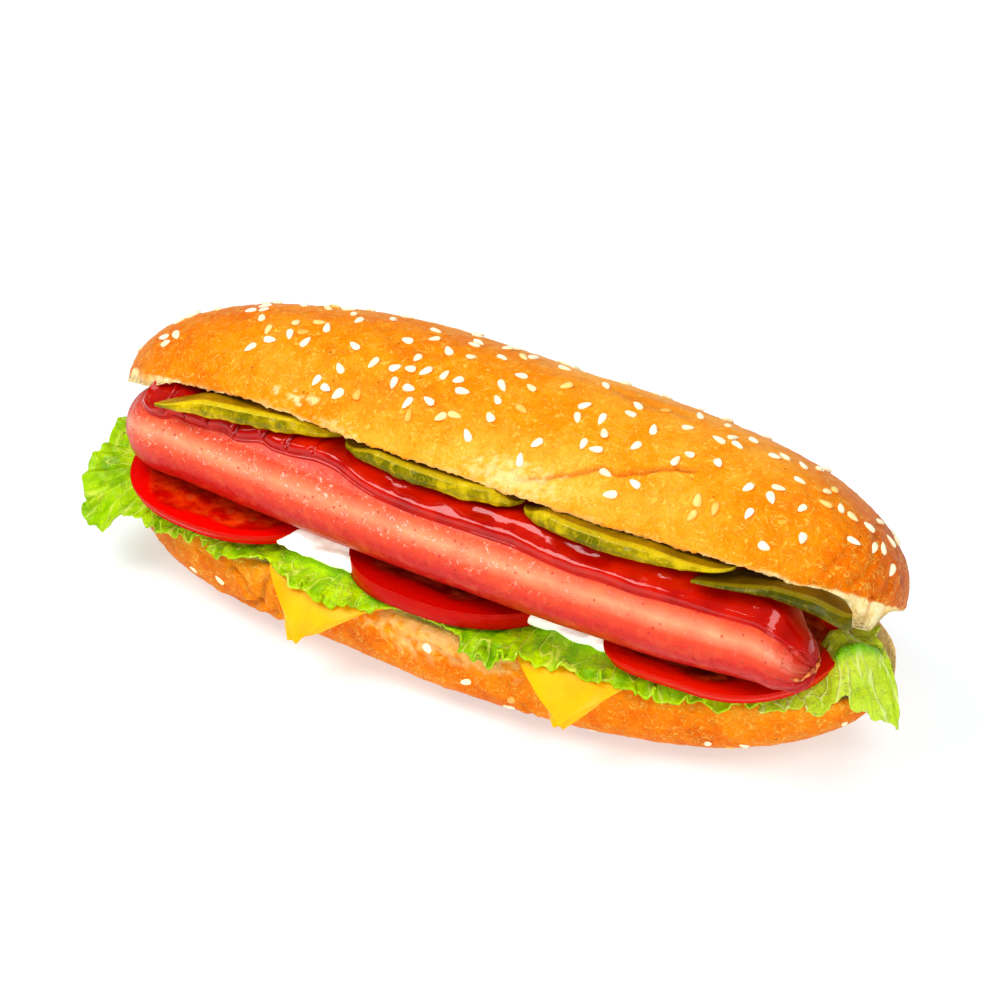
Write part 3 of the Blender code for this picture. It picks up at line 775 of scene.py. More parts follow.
def seed_scatter_tree():
    """Geometry nodes: seeds laid flat over a surface where its seeding attribute is high."""
    tree = bpy.data.node_groups.new("scatter_seeds", "GeometryNodeTree")
    tree.is_modifier = True
    sockets = {"Geometry": "Geometry", "Seed": "Object", "Spacing": "Float", "Density": "Float",
               "Draw": "Int", "Toast": "Float", "Look": "Material"}
    for label, kind in sockets.items():
        tree.interface.new_socket(label, in_out="INPUT", socket_type="NodeSocket" + kind)
    tree.interface.new_socket("Geometry", in_out="OUTPUT", socket_type="NodeSocketGeometry")
    given = tree.nodes.new("NodeGroupInput").outputs
    nodes = Nodes(tree)
    seeding = nodes.result("GeometryNodeInputNamedAttribute", {"Name": "seeding"}, data_type="FLOAT")
    spread = {"Mesh": given["Geometry"], "Distance Min": given["Spacing"], "Density Max": given["Density"],
              "Density Factor": seeding, "Seed": given["Draw"]}
    points = nodes.add("GeometryNodeDistributePointsOnFaces", spread, distribute_method="POISSON")
    spin = nodes.result("FunctionNodeRandomValue",
                        {"Min": SEED_TURNS[0], "Max": SEED_TURNS[1], "Seed": given["Draw"]},
                        data_type="FLOAT_VECTOR")
    turned = nodes.result("FunctionNodeRotateRotation", {0: points.outputs["Rotation"], 1: spin},
                          rotation_space="LOCAL")
    size = nodes.result("FunctionNodeRandomValue", {"Min": SEED_SIZES[0], "Max": SEED_SIZES[1], "Seed": 7},
                        data_type="FLOAT_VECTOR")
    seed = nodes.add("GeometryNodeObjectInfo", {"Object": given["Seed"]}).outputs["Geometry"]
    laid = nodes.result("GeometryNodeInstanceOnPoints", {"Points": points.outputs["Points"], "Instance": seed,
                                                         "Rotation": turned, "Scale": size})
    tone = nodes.add("FunctionNodeRandomValue", {2: given["Toast"], "Seed": 11}, data_type="FLOAT").outputs[1]
    toned = nodes.result("GeometryNodeStoreNamedAttribute", {"Geometry": laid, "Name": "tone", "Value": tone},
                         data_type="FLOAT", domain="INSTANCE")
    whole = nodes.result("GeometryNodeRealizeInstances", {"Geometry": toned})
    dressed = nodes.result("GeometryNodeSetMaterial", {"Geometry": whole, "Material": given["Look"]})
    tree.links.new(dressed, tree.nodes.new("NodeGroupOutput").inputs["Geometry"])
    return tree


def scatter(name, ground, tree, **values):
    """Plain mesh of what a geometry nodes tree lays over a ground mesh, from values for its inputs."""
    made = new_object(name, ground.copy())
    modifier = made.modifiers.new(name, "NODES")
    modifier.node_group = tree
    for item in tree.interface.items_tree:
        if item.in_out == "INPUT" and item.name in values:
            modifier[item.identifier] = values[item.name]
    return plain_mesh(made)


def seed_look():
    """Pale cream hull, tan on the more toasted seeds."""
    look = Look("sesame", Roughness=0.42, **translucent(0.15, 0.8))
    look.colour = look.ramp(look.painted("tone"), (0.0, (255, 250, 222)), (0.84, (255, 244, 204)),
                            (0.93, (252, 216, 130)), (1.0, (240, 178, 70)))
    look.lay(look.patches(2.2, 0.5, 0.75, 4.0), (236, 190, 110), 0.35)
    return look.finish((look.patches(0.8, 0.2, 0.8), 0.05))


def build_bun():
    """Both halves of the bun, then the seeds over each."""
    crust = crust_look()
    halves = {"lid": lid_mesh(), "base": base_mesh()}
    for half, mesh in halves.items():
        place(f"bun_{half}", mesh, crust, "bun")
    seed = new_object("sesame_seed", seed_shape())
    tree, look = seed_scatter_tree(), seed_look()
    for half, (draw, toast) in SEEDED.items():
        mesh = scatter(f"{half}_seeds", halves[half], tree, Seed=seed, Look=look, Spacing=SEED_SPACING * MM,
                       Density=SEEDS_PER_SQUARE_METRE, Draw=draw, Toast=toast)
        place(f"{half}_seeds", mesh, look, "bun")
    bpy.data.objects.remove(seed)


# ---------------------------------------------------------------- frankfurter

SAUSAGE_RADIUS, SAUSAGE_LEFT, SAUSAGE_RIGHT = 12.5, -99.7, 95.5
SAUSAGE_Y, SAUSAGE_Z, SAUSAGE_BOW = -17.2, 46.8, 6.5
# how far its right tip bends forwards and down, and how far its left end sags
SAUSAGE_TIP, SAUSAGE_SAG = (-3.6, -3.0), 2.5
# the length that its left and right end are rounded over, and the power of the curve
SAUSAGE_ENDS = ((17.0, 2.4), (15.5, 2.3))
# how much slimmer it gets to the right, and where and how tightly it is pinched there
SAUSAGE_SLIMMING, SAUSAGE_PINCH = 0.11, (0.10, SAUSAGE_RIGHT - 5.5, 2.5)


def sausage_centre(x):
    """The y and z of the frankfurter's middle line."""
    bend = rising(x, SAUSAGE_RIGHT - 14, 14)
    y = SAUSAGE_Y + SAUSAGE_BOW * ((x - 38) / 120) ** 2 + SAUSAGE_TIP[0] * bend
    sag = SAUSAGE_SAG * falling(x, SAUSAGE_LEFT + 22, 22)
    return y, SAUSAGE_Z + SAUSAGE_TIP[1] * bend - sag


def sausage_radius(x):
    """The frankfurter's radius, blunt at its left end and pinched at its right."""
    inside = (x - SAUSAGE_LEFT, SAUSAGE_RIGHT - x)
    rounded = [np.sqrt(positive(1 - positive(1 - depth / length) ** power))
               for depth, (length, power) in zip(inside, SAUSAGE_ENDS)]
    tightness, middle, spread = SAUSAGE_PINCH
    slim = (1 - tightness * bump(x, middle, spread)) * (1 - SAUSAGE_SLIMMING * rising(x, 50, 40))
    return SAUSAGE_RADIUS * np.minimum(*rounded) * slim


def sausage_point(x, angle, out):
    """Points this far outside the frankfurter, at an angle in radians round it from its front."""
    y, z = sausage_centre(x)
    reach = sausage_radius(x) + out
    return joined(x, y - reach * np.cos(angle), z + reach * np.sin(angle))


def sausage_mesh():
    """A taut casing with fine bumps, ring wrinkles at its left end and pleats at its right end."""
    x, angle = end_stations(440, SAUSAGE_LEFT, SAUSAGE_RIGHT, 0.006), turns(120)
    rings = sausage_point(x, angle, 0.0)
    wave = grain(rings, 9, 2.0, 2)
    right_end = rising(x, SAUSAGE_RIGHT - 13, 12)
    left_end = falling(x, SAUSAGE_LEFT + 6, 6)
    pleats = 0.42 * np.sin(17 * angle + 5 * wave) + 0.25 * np.sin(29 * angle + 3 * wave + 1)
    wrinkles = np.sin(x * 2.3 + 2.2 * wave)
    relief = 0.22 * grain(rings, 26, 1.0) + 0.05 * wave + 0.045 * grain(rings, 1.5, 3.0, 2)
    rings = raised(rings, relief + 0.50 * right_end * pleats + 0.22 * left_end * wrinkles)
    # how far round the casing a point is, from underside to top, which places the painted highlight and
    # painted shade; the painted glints fade out towards the right end
    shade = 0.5 + 0.5 * np.sin(angle - math.radians(10))
    return loft("frankfurter", rings, shade=shade, ends=np.maximum(right_end, left_end),
                sparkle=0.75 - 0.6 * rising(x, 15, 30))


def knot_mesh():
    """The crinkled, browned line across the right end, where the casing was pinched shut."""
    stations = np.linspace(SAUSAGE_RIGHT - 8, SAUSAGE_RIGHT - 0.05, 80)
    radii = sausage_radius(stations)
    draw = random.Random(3)
    steps = np.linspace(0, 1, 9)
    swell = np.sin(math.pi * steps)
    parts = []
    for start in np.linspace(-7.0, 4.4, 9):
        across = start + (1.9 + draw.uniform(0, 0.8)) * steps
        above = 0.9 + draw.uniform(-0.7, 0.7) + draw.uniform(-1.1, 1.1) * steps
        x = np.interp(-np.hypot(across, above), -radii, stations)
        y, z = sausage_centre(x)
        lift = 0.1 + draw.uniform(0.0, 0.5) * swell
        path = joined(x + lift, y + across, z + above)
        parts.append(strand(path, draw.uniform(0.3, 0.6) * np.sqrt(np.clip(swell, 0.15, 1))))
    return fused("frankfurter_knot", parts, 0.24, 1)


# colours of the casing from its underside to its top: the darker red below is painted shade and the pale
# peach band at 0.64 is a painted highlight
CASING_COLOURS = ((0.0, (176, 6, 0)), (0.34, (208, 26, 8)), (0.50, (234, 82, 44)), (0.64, (255, 164, 124)),
                  (0.78, (236, 84, 46)), (1.0, (190, 24, 12)))


def sausage_look():
    """Smooth salmon casing with tiny bumps and red specks.

    Its pale upper front is a painted highlight, its darker underside is painted shade, and the pale flecks
    there are painted glints; all are laid on as colour.
    """
    look = Look("salmon_casing", Roughness=0.40, IOR=1.5, Specular_IOR_Level=0.25, Coat_Weight=0.15,
                Coat_Roughness=0.08, **translucent(0.10, 1.5, (1.0, 0.35, 0.2)))
    shade = look.painted("shade")
    look.colour = look.ramp(shade, *CASING_COLOURS)
    look.lay(look.patches(7), (206, 34, 28), 0.28)
    look.lay(look.patches(4, 0.45, 0.75, 6.0), (246, 124, 66), 0.25)
    specks = look.times(look.spots(2.4, 0.08, 0.12, 2.0), look.patches(6, 0.34, 0.52, 9.0))
    look.lay(specks, (176, 12, 26), 0.7)
    look.lay(look.painted("ends"), (170, 12, 8), 0.65)
    # pale curls that are both small bumps and painted glints, laid only in the painted highlight band
    curls = look.times(look.threads(1.7, 0.060, 1.0), look.patches(1.3, 0.54, 0.61, 3.0))
    band = look.times(look.ranged(shade, 0.36, 0.6), look.ranged(shade, 0.95, 0.75))
    look.lay(look.times(look.times(curls, band), look.painted("sparkle")), (255, 226, 204))
    return look.finish((look.patches(1.1, 0.1, 0.9, 2.0), 0.10), (look.spots(1.9, 0.04, 0.32, 4.0), 0.18),
                       (curls, 0.10))


def knot_look():
    """Browned, crinkled casing."""
    return cloudy_look("browned_knot", (1.6, (176, 70, 22), (238, 150, 60), 0.35, 0.65),
                       (0.7, 0.2, 0.8), 0.12, Roughness=0.35, Coat_Weight=0.4)


def build_sausage():
    """The frankfurter and the knot at its right end."""
    place("frankfurter", sausage_mesh(), sausage_look(), "sausage")
    place("frankfurter_knot", knot_mesh(), knot_look(), "sausage")


# ---------------------------------------------------------------- ketchup

KETCHUP_LEFT, KETCHUP_RIGHT = -93.0, 94.3
# the height under the pickles that the ribbon is pressed down to
KETCHUP_TOP = 61.2
# x and angle in degrees of the ribbon's lower edge
KETCHUP_EDGE = (
    (-93, 60), (-91.5, 54), (-89, 45), (-83.5, 43), (-80, 51), (-77, 48), (-71, 50), (-65.5, 56),
    (-62, 50), (-57.5, 56), (-55, 61), (-51.5, 56), (-45.5, 58), (-39, 64), (-33.5, 63), (-26, 53),
    (-20, 48), (-9, 46), (5, 48), (18, 49), (28, 44), (36, 42), (43, 44), (51, 42), (62, 45), (71, 46),
    (80, 48), (85, 47), (91, 56), (94.5, 84),
)
# x of the narrow clefts between the drips at its left end, and the loop squeezed out first: the
# middle's x and angle, its radius and the thickness of its ring
KETCHUP_CLEFTS = (-83.6, -77.8, -71.0, -62.6, -54.6, -47.6, -40.6)
KETCHUP_LOOP = (-87.0, 71.0, 4.4, 1.9)
# the angle where the ribbon ends behind the crest, and the thickness of its thin lower fringe
KETCHUP_CREST, KETCHUP_FRINGE = 118.0, 0.45
# an even scale for patterns over x and angle: millimetres for a radian
RADIAN = 12.0


def ketchup_edge(x):
    """Angle in degrees of the ribbon's lower edge."""
    return sum(np.interp(x + shift, *np.transpose(KETCHUP_EDGE)) for shift in (-1.2, 0.0, 1.2)) / 3


def flattened(angle, middle, before, after):
    """What a round body of radius 1 lacks to be flat around an angle, in radians."""
    return 1 / np.cos(np.clip(angle - middle, -before, after)) - 1


def ketchup_drips(x, angle, spots):
    """Flat faced drips, side by side, with narrow clefts between them."""
    lean = x - 2.6 * (angle - angle[:, :1]) + 0.5 * grain(spots, 3, 1.0)
    nearest = np.min([np.abs(lean - cleft) for cleft in KETCHUP_CLEFTS], axis=0)
    drips = 2.3 * (1 - 0.85 * bump(nearest, 0, 0.62)) - 0.02 * positive(3.6 - nearest) ** 2
    return drips + 0.14 * grain(spots, 4.0, 3.0) + 14.8 * flattened(angle, 0.95, 0.3, 0.38)


def ketchup_ridges(spots, from_edge):
    """Soft ridges that run along the ribbon."""
    sway = 0.5 + 0.9 * grain(spots * (1.0, 0.3, 1.0), 16, 2.0)
    ridges = 1.9 + 0.42 * np.clip(sway, 0.15, 1.2) * np.cos(math.tau * (from_edge - 2.2) / 5.6)
    return ridges + 0.30 * grain(spots * (0.6, 1.0, 1.0), 4.5, 7.0, 2)


def ketchup_film(angle, spots):
    """A thin, nearly flat film."""
    return 0.9 + 0.10 * grain(spots * (0.6, 1.0, 1.0), 6.0, 9.0) + 14.0 * flattened(angle, 1.05, 0.3, 0.3)


def ketchup_loop(x, angle):
    """The ring squeezed out first, round a shallow middle."""
    loop_x, loop_angle, radius, height = KETCHUP_LOOP
    away = np.hypot(x - loop_x, RADIAN * (angle - math.radians(loop_angle)))
    return 0.5 + height * bump(away, radius, 1.0)


def ketchup_thickness(x, angle, from_edge):
    """How thick the ribbon is in millimetres: from its left a loop, drips, ridges and a film."""
    spots = joined(x, RADIAN * angle, 0.0)
    full = ketchup_loop(x, angle)
    following = ((ketchup_drips(x, angle, spots), -84.5, 2.5), (ketchup_ridges(spots, from_edge), -41, 8),
                 (ketchup_film(angle, spots), 52, 26))
    for thickness, start, width in following:
        full = full + (thickness - full) * rising(x, start, width)
    rise = 1 - np.clip((from_edge - 0.7) / 1.7, 0, 1)
    body = np.sqrt(1 - rise ** 2) * (1 - 0.7 * rising(x, 84, 9))
    fringe = 1 - np.clip(from_edge / KETCHUP_FRINGE, 0, 1)
    return KETCHUP_FRINGE * np.sqrt(positive(1 - fringe ** 2)) + full * body


def ketchup_mesh():
    """A ribbon squeezed along the frankfurter, from the loop at its left end to a film at its right."""
    x = end_stations(480, KETCHUP_LEFT, KETCHUP_RIGHT, 0.01)
    low = np.radians(ketchup_edge(x))
    angle = low + (math.radians(KETCHUP_CREST) - low) * row(0, 1, 76) ** 1.25
    from_edge = (angle - low) * (sausage_radius(x) + 1)
    from_end = np.minimum(x - KETCHUP_LEFT, KETCHUP_RIGHT - x) / 2.5
    thick = ketchup_thickness(x, angle, from_edge) * np.sqrt(np.clip(from_end, 0.05, 1))
    outer = sausage_point(x, angle, thick)
    above = outer[..., 2] - KETCHUP_TOP
    outer[..., 2] = np.where(above > 0, KETCHUP_TOP + 0.3 * above, outer[..., 2])
    inner = sausage_point(x, angle[:, ::2], -0.5)[:, ::-1]
    return loft("ketchup", np.concatenate([outer, inner], axis=1))


def ketchup_look():
    """Deep wet red, slightly cloudy, with a few dark specks."""
    look = Look("ketchup", Roughness=0.06, IOR=1.42, Coat_Weight=0.2, Coat_Roughness=0.02,
                **translucent(0.08, 1.2, (1.0, 0.12, 0.06)))
    look.clouds(8, (170, 6, 0), (202, 26, 0))
    look.lay(look.spots(6.5, 0.035, 0.02), (70, 6, 4), 0.8)
    return look.finish((look.patches(4, 0.1, 0.9, 2.0), 0.09))


def build_ketchup():
    """The one ribbon of ketchup."""
    place("ketchup", ketchup_mesh(), ketchup_look(), "ketchup")


# ---------------------------------------------------------------- pickles

# x and front y at both ends, bottom heights along it, width, how far the ends thin out, the end
# tapers' powers, how obliquely the right end is cut, how far the ends curve back and how warty it is
PICKLES = (
    ((-82.9, -25.4), (-33.8, -18.6), (62.2, 62.8, 62.8, 62.8), 12.5, (14, 14), (2.2, 2.2), 0.0,
     (1.5, 7.0), 1.0),
    ((-33.0, -22.8), (16.6, -23.2), (62.8, 62.7, 62.7, 62.7), 13.5, (12, 8), (2.2, 3.0), 0.0,
     (8.0, 8.0), 1.0),
    ((17.6, -25.2), (73.5, -25.4), (62.7, 62.7, 64.2, 65.2), 13.0, (8, 26), (3.0, 2.2), 0.0,
     (8.0, 8.0), 1.0),
    ((65.0, -25.5), (102.6, -18.6), (62.6, 62.8, 60.2, 56.4), 13.0, (36, 0.1), (2.6, 12.0), 0.45,
     (1.0, 3.0), 0.2),
)
# shares of the length at which the bottom heights are given
PICKLE_KNOTS = (0.0, 0.5, 0.78, 1.0)
PICKLE_THICKNESS, PICKLE_TILT = 4.4, math.radians(11)
# outline across a slice: shares of its width and of half its thickness
PICKLE_SECTION = ((0.06, -0.75), (0.0, 0.0), (0.06, 0.75), (0.14, 1.0), (0.6, 0.95), (1.0, 0.45),
                  (1.0, -0.45), (0.6, -0.95), (0.14, -1.0))
# colours of the rind from dark to pale, then of the cut face from dark to its pale rim
GHERKINS = {
    "gherkin": ((120, 112, 0), (164, 142, 0), (206, 176, 4),
                (156, 118, 0), (186, 142, 0), (240, 210, 30)),
    "ripe_gherkin": ((112, 108, 0), (156, 138, 0), (206, 180, 16),
                     (132, 100, 0), (164, 126, 0), (214, 184, 24)),
    "dark_gherkin": ((74, 74, 0), (98, 92, 0), (126, 112, 0),
                     (92, 66, 0), (116, 86, 0), (150, 128, 10)),
}
PICKLED = ("gherkin", "ripe_gherkin", "ripe_gherkin", "dark_gherkin")


def section_points(count):
    """The slice's section with its corners a little rounded, evenly spaced round its outline."""
    corners = PICKLE_SECTION + PICKLE_SECTION[:1]
    outline = between(corners, np.linspace(0, len(corners) - 1, count + 1)[:-1])
    for _ in range(2):
        outline = (np.roll(outline, 1, axis=0) + 2 * outline + np.roll(outline, -1, axis=0)) / 4
    return outline


def pickle_mesh(index):
    """A lengthwise slice: warty rind in front, smoother cut faces above and below."""
    start, end, heights, width, thin, powers, slant, recess, warty = PICKLES[index]
    x = end_stations(150, start[0], end[0], 0.02)
    share = (x - start[0]) / (end[0] - start[0])
    taper = end_taper(2 * share - 1, *powers)
    front = start[1] + (end[1] - start[1]) * share + (1 - taper) * np.where(share < 0.5, *recess)
    bottom = np.interp(share, PICKLE_KNOTS, heights)
    full = np.minimum(rising(x, start[0], thin[0]), falling(x, end[0], thin[1]))
    across, up = section_points(72).T[:, None, :]
    y = across * width * taper
    z = (up + 1) * PICKLE_THICKNESS / 2 * (0.2 + 0.8 * full)
    rings = joined(x - slant * y * share ** 4, front + y * math.cos(PICKLE_TILT) + z * math.sin(PICKLE_TILT),
                   bottom + z - y * math.sin(PICKLE_TILT))
    rind = falling(across, 0.22, 0.12)
    warts = 0.65 * positive(grain(rings, 4.0, 5.0 + index, 2) + 0.1) - 0.12
    relief = rind * warty * warts + (1 - rind) * 0.08 * grain(rings, 4, 2.0, 2)
    rings = raised(rings, relief * (0.35 + 0.65 * full))
    return loft(f"pickle_slice_{index + 1}", rings, rind=rind, top=rising(up, 0.6, 0.3), across=across)


def pickle_look(name):
    """Wet gherkin: translucent rind, smoother pale face and a bright line where they meet."""
    *rind_colours, face, pale_face, rim = GHERKINS[name]
    look = Look(name, Roughness=0.3, IOR=1.36, Specular_IOR_Level=0.16, Coat_Weight=0.16, Coat_Roughness=0.03,
                **translucent(0.10, 1.2, (0.8, 1.0, 0.2)))
    fleck = look.ranged(look.patches(2.6, shift=1.0), 0, 1, -0.3, 0.3)
    tone = look.maths("ADD", look.patches(14, 0.35, 0.65), fleck)
    streak = look.threads(3.4, 0.035, 3.0)
    rind = look.ramp(tone, *zip((0.0, 0.5, 1.0), rind_colours))
    rind = look.mix(look.times(streak, 0.45), rind, rim)
    look.colour = look.mix(look.patches(7, shift=2.0), face, pale_face)
    look.lay(look.painted("rind"), rind)
    near_rind = look.ranged(look.painted("across"), 0.22, 0.16)
    look.lay(look.times(near_rind, look.ranged(look.painted("top"), 0.1, 0.6)), rim, 0.6)
    return look.finish((look.patches(2.4, 0.2, 0.8, 1.0), 0.14), (streak, 0.10))


def build_pickles():
    """Four slices along the lid's edge, the last one darker."""
    looks = {name: pickle_look(name) for name in GHERKINS}
    place_each("slice", "pickle", pickle_mesh, [looks[name] for name in PICKLED])


# ---------------------------------------------------------------- tomato

# how much the rim turns up at the right, the width of the flesh ring, the lobe phase, how square the
# rim's front left quarter is, and how flat its front right quarter is
TOMATOES = ((0.3, 2.8, 0.2, 0.4, 0.0), (0.2, 5.0, 1.7, 0.8, 0.0), (0.6, 3.6, 3.1, 3.2, 0.15))
# colours of the skin, the flesh, the pulp and its mottles
TOMATO_COLOURS = {
    "ripe_tomato": ((214, 24, 0), (226, 8, 0), (196, 8, 0), (232, 76, 10)),
    "deep_tomato": ((192, 12, 2), (186, 10, 2), (146, 6, 2), (186, 58, 26)),
    "thin_tomato": ((216, 24, 2), (222, 30, 0), (142, 12, 0), (206, 84, 20)),
}
# the middle slice's rim is upright, and the others' draws in below by this share
UPRIGHT_SLICE, RIM_TUCK = 1, 0.045


def tomato_rim(index, angle):
    """The slice's rim seen from above, in millimetres, at angles from its centre."""
    low, high = node_box(f"tomato_{index + 1}")
    centre, half = (low + high) / 2, (high - low) / 2
    phase, square, flat = TOMATOES[index][2:]
    c, s = np.cos(angle), np.sin(angle)
    front = np.clip(-s, 0, 1)
    power = 2 + 2 * front * (square * np.clip(-c, 0, 1) - flat * np.clip(c, 0, 1))
    reach = (np.abs(c) ** power + np.abs(s) ** power) ** (-1 / power)
    uneven = 1 + 0.010 * np.sin(3 * angle + phase) + 0.006 * np.sin(5 * angle)
    reach = np.minimum(reach * uneven / 1.016, 1 / np.maximum(np.abs(c), np.abs(s)))
    return centre, half, half[0] * reach * c, half[1] * reach * s


def tomato_mesh(index):
    """A round slice: skin round the rim, then a ring of flesh and uneven pulp on both cut faces."""
    turn_up, flesh, phase = TOMATOES[index][:3]
    angle = turns(220)
    centre, half, rim_x, rim_y = tomato_rim(index, angle)
    steps = np.concatenate([np.linspace(0.02, 0.94, 46), np.linspace(0.95, 0.999, 8)])
    rim = np.linspace(-1, 1, 11)[1:-1]
    tuck = RIM_TUCK * rising(rim, rim[0], 2) * (index != UPRIGHT_SLICE)
    round_rim = 1.001 - 0.018 * np.abs(rim) ** 3 - tuck
    shares = np.concatenate([steps, round_rim, steps[::-1] * (1 - tuck[-1])])[:, None]
    levels = np.concatenate([0 * steps + 1, -rim, 0 * steps - 1])[:, None]
    x = centre[0] + shares * rim_x
    y = centre[1] + shares * rim_y
    from_rim = (half[0] + half[1]) / 2 * (1 - shares)
    pulp = rising(from_rim - flesh - 1.2 * np.sin(7 * angle + phase), 0, 2.5)
    z = centre[2] + half[2] * levels * (1 - 0.10 * rising(shares, 0.9, 0.1))
    grid = joined(x, y, z)
    hollows = pulp * (0.55 * grain(grid, 4.2, 3.0 + index, 3) - 0.45) + 0.08 * grain(grid, 2, 5.0)
    z = z + np.sign(levels) * (np.abs(levels) == 1) * hollows
    z = z + turn_up * rising((x - centre[0]) / half[0], 0.2, 1) ** 2 * shares ** 2
    skin = rising(shares, 0.975, 0.015) * np.maximum(np.abs(levels) < 1, shares > 0.99)
    return loft(f"tomato_slice_{index + 1}", joined(x, y, z), skin=skin, pulp=pulp)


def tomato_look(name):
    """Thin glossy skin, a ring of firm flesh, and mottled pulp with soft seeds."""
    skin, flesh, pulp, mottle = TOMATO_COLOURS[name]
    look = Look(name, Roughness=0.24, IOR=1.4, Specular_IOR_Level=0.12, Coat_Weight=0.10, Coat_Roughness=0.06,
                **translucent(0.15, 2.5))
    inside = look.mix(look.patches(6, 0.35, 0.65, 2.0), pulp, mottle)
    inside = look.mix(look.times(look.spots(4.5, 0.18, 0.14, 5.0), 0.3), inside, (226, 120, 60))
    face = look.mix(look.painted("pulp"), flesh, inside)
    peel = look.mix(look.times(look.patches(10, 0.35, 0.7, 4.0), 0.4), skin, (206, 44, 6))
    look.colour = look.mix(look.painted("skin"), face, peel)
    return look.finish((look.patches(1.4, 0.2, 0.8), 0.12))


def build_tomatoes():
    """Three slices under the frankfurter, each of its own tomato."""
    place_each("slice", "tomato", tomato_mesh, [tomato_look(name) for name in TOMATO_COLOURS])


# ---------------------------------------------------------------- mayonnaise

# its front edge's y at the left and right, and its lowest and highest z
BLOBS = (((-23.6, -24.0), (28.9, 33.4)), ((-20.8, -21.0), (28.9, 32.4)))
BLOB_BACK, BLOB_OVERLAP = -8.0, 0.3


def slice_side(index, y, side):
    """The x of a tomato slice's rim at this y: side -1 is its left, 1 its right."""
    angle = np.radians(np.linspace(-89, 89, 90) if side > 0 else np.linspace(269, 91, 90))
    centre, _, rim_x, rim_y = tomato_rim(index, angle)
    return np.interp(y, centre[1] + rim_y, centre[0] + rim_x)


def mayonnaise_mesh(index):
    """A soft wedge squeezed out between two tomato slices, filling the gap from rim to rim."""
    (left_front, right_front), (low, high) = BLOBS[index]
    part = row(0.0, 1.0, 90).T
    angle = turns(120)
    near = left_front + (right_front - left_front) * part
    y = (near + BLOB_BACK) / 2 - (BLOB_BACK - near) / 2 * signed_power(np.cos(angle), 0.6)
    left = slice_side(index, y, 1) - BLOB_OVERLAP
    right = slice_side(index + 1, y, -1) + BLOB_OVERLAP
    x = left + (right - left) * part
    z = (low + high) / 2 + (high - low) / 2 * signed_power(np.sin(angle), 0.75)
    rings = joined(x, y, z)
    fold = np.sin(0.9 * (y - 0.35 * x) + 3.0 * grain(rings, 10, 5.0))
    return loft(f"mayonnaise_blob_{index + 1}", raised(rings, grain(rings, 6, 2.0, 2) + 0.45 * fold))


def mayonnaise_look():
    """Nearly white cream with a painted glow, a faint emission that keeps it bright even in the slices'
    shade.
    """
    # the emission is a painted glow, not a lamp
    return cloudy_look("mayonnaise", (6, (252, 250, 238), (255, 255, 250)), (4, 0.1, 0.9, 4.0), 0.5,
                       Roughness=0.3, Coat_Weight=0.3, Coat_Roughness=0.1,
                       Emission_Color=(0.86, 1.0, 0.86, 1.0), Emission_Strength=0.30)


def build_mayonnaise():
    """A blob in each gap between the tomato slices."""
    place_each("blob", "mayonnaise", mayonnaise_mesh, [mayonnaise_look()] * len(BLOBS))


# ---------------------------------------------------------------- cheese

CHEESE_BOTTOM, CHEESE_THICKNESS = 24.5, 2.0
CHEESE_FOLD_RADIUS, CHEESE_FOLD, CHEESE_FOLD_INSIDE = 5.0, math.radians(45), 3.0
# each corner's x, how far forward it reaches before it is folded, and how far the slice is turned
CHEESE_CORNERS = ((-36.5, 42.7, 7.0), (37.2, 40.8, -6.0))


def hang(over, radius, fold):
    """How far out and down a sheet reaches, a length past the line where it starts to bend."""
    over = positive(over)
    turn = np.minimum(over / radius, np.abs(fold))
    rest = positive(over - radius * np.abs(fold))
    down = radius * (1 - np.cos(turn)) + rest * np.sin(np.abs(fold))
    return radius * np.sin(turn) + rest * np.cos(fold), np.sign(fold) * down


def cheese_mesh(index):
    """Half a square slice, its corner bent down over the base, with soft wavy edges."""
    corner_x, reach, turn = CHEESE_CORNERS[index]
    angle = math.radians(turn)
    depth, part = row(0.5, 30, 84).T, row(-1, 1, 95)
    across = depth * part
    x = corner_x + across * math.cos(angle) + depth * math.sin(angle)
    y = -reach - across * math.sin(angle) + depth * math.cos(angle)
    fold = base_front(x) + CHEESE_FOLD_INSIDE
    over = fold - y
    out, drop = hang(over, CHEESE_FOLD_RADIUS, CHEESE_FOLD)
    grid = joined(x, np.where(over > 0, fold - out, y), CHEESE_BOTTOM + CHEESE_THICKNESS / 2 - drop)
    edge = np.abs(part) ** 6 * rising(over, -2, 6)
    wave = 0.5 * np.sin(depth * 0.33 + 2 * part + index) * edge + 0.25 * grain(grid, 9, 4.0 + index)
    return sheet(f"cheese_slice_{index + 1}", grid, wave, CHEESE_THICKNESS * 0.95)


def cheese_look():
    """Smooth, slightly waxy yellow."""
    return cloudy_look("cheddar", (9, (255, 176, 0), (255, 192, 2)), (3, 0.2, 0.8, 2.0), 0.06, Roughness=0.38,
                       Specular_IOR_Level=0.25, **translucent(0.25, 2.0, (1.0, 0.6, 0.1)))


def build_cheese():
    """Both slices, with their edges softened."""
    for made in place_each("slice", "cheese", cheese_mesh, [cheese_look()] * len(CHEESE_CORNERS)):
        rounding = made.modifiers.new("soft edges", "BEVEL")
        rounding.width = 0.45 * MM
        rounding.segments = 2
        rounding.limit_method = "ANGLE"


# ---------------------------------------------------------------- lettuce

LEAF_THICKNESS, LEAF_COLUMNS_PER_MM, LEAF_ROWS = 0.55, 5.5, 56
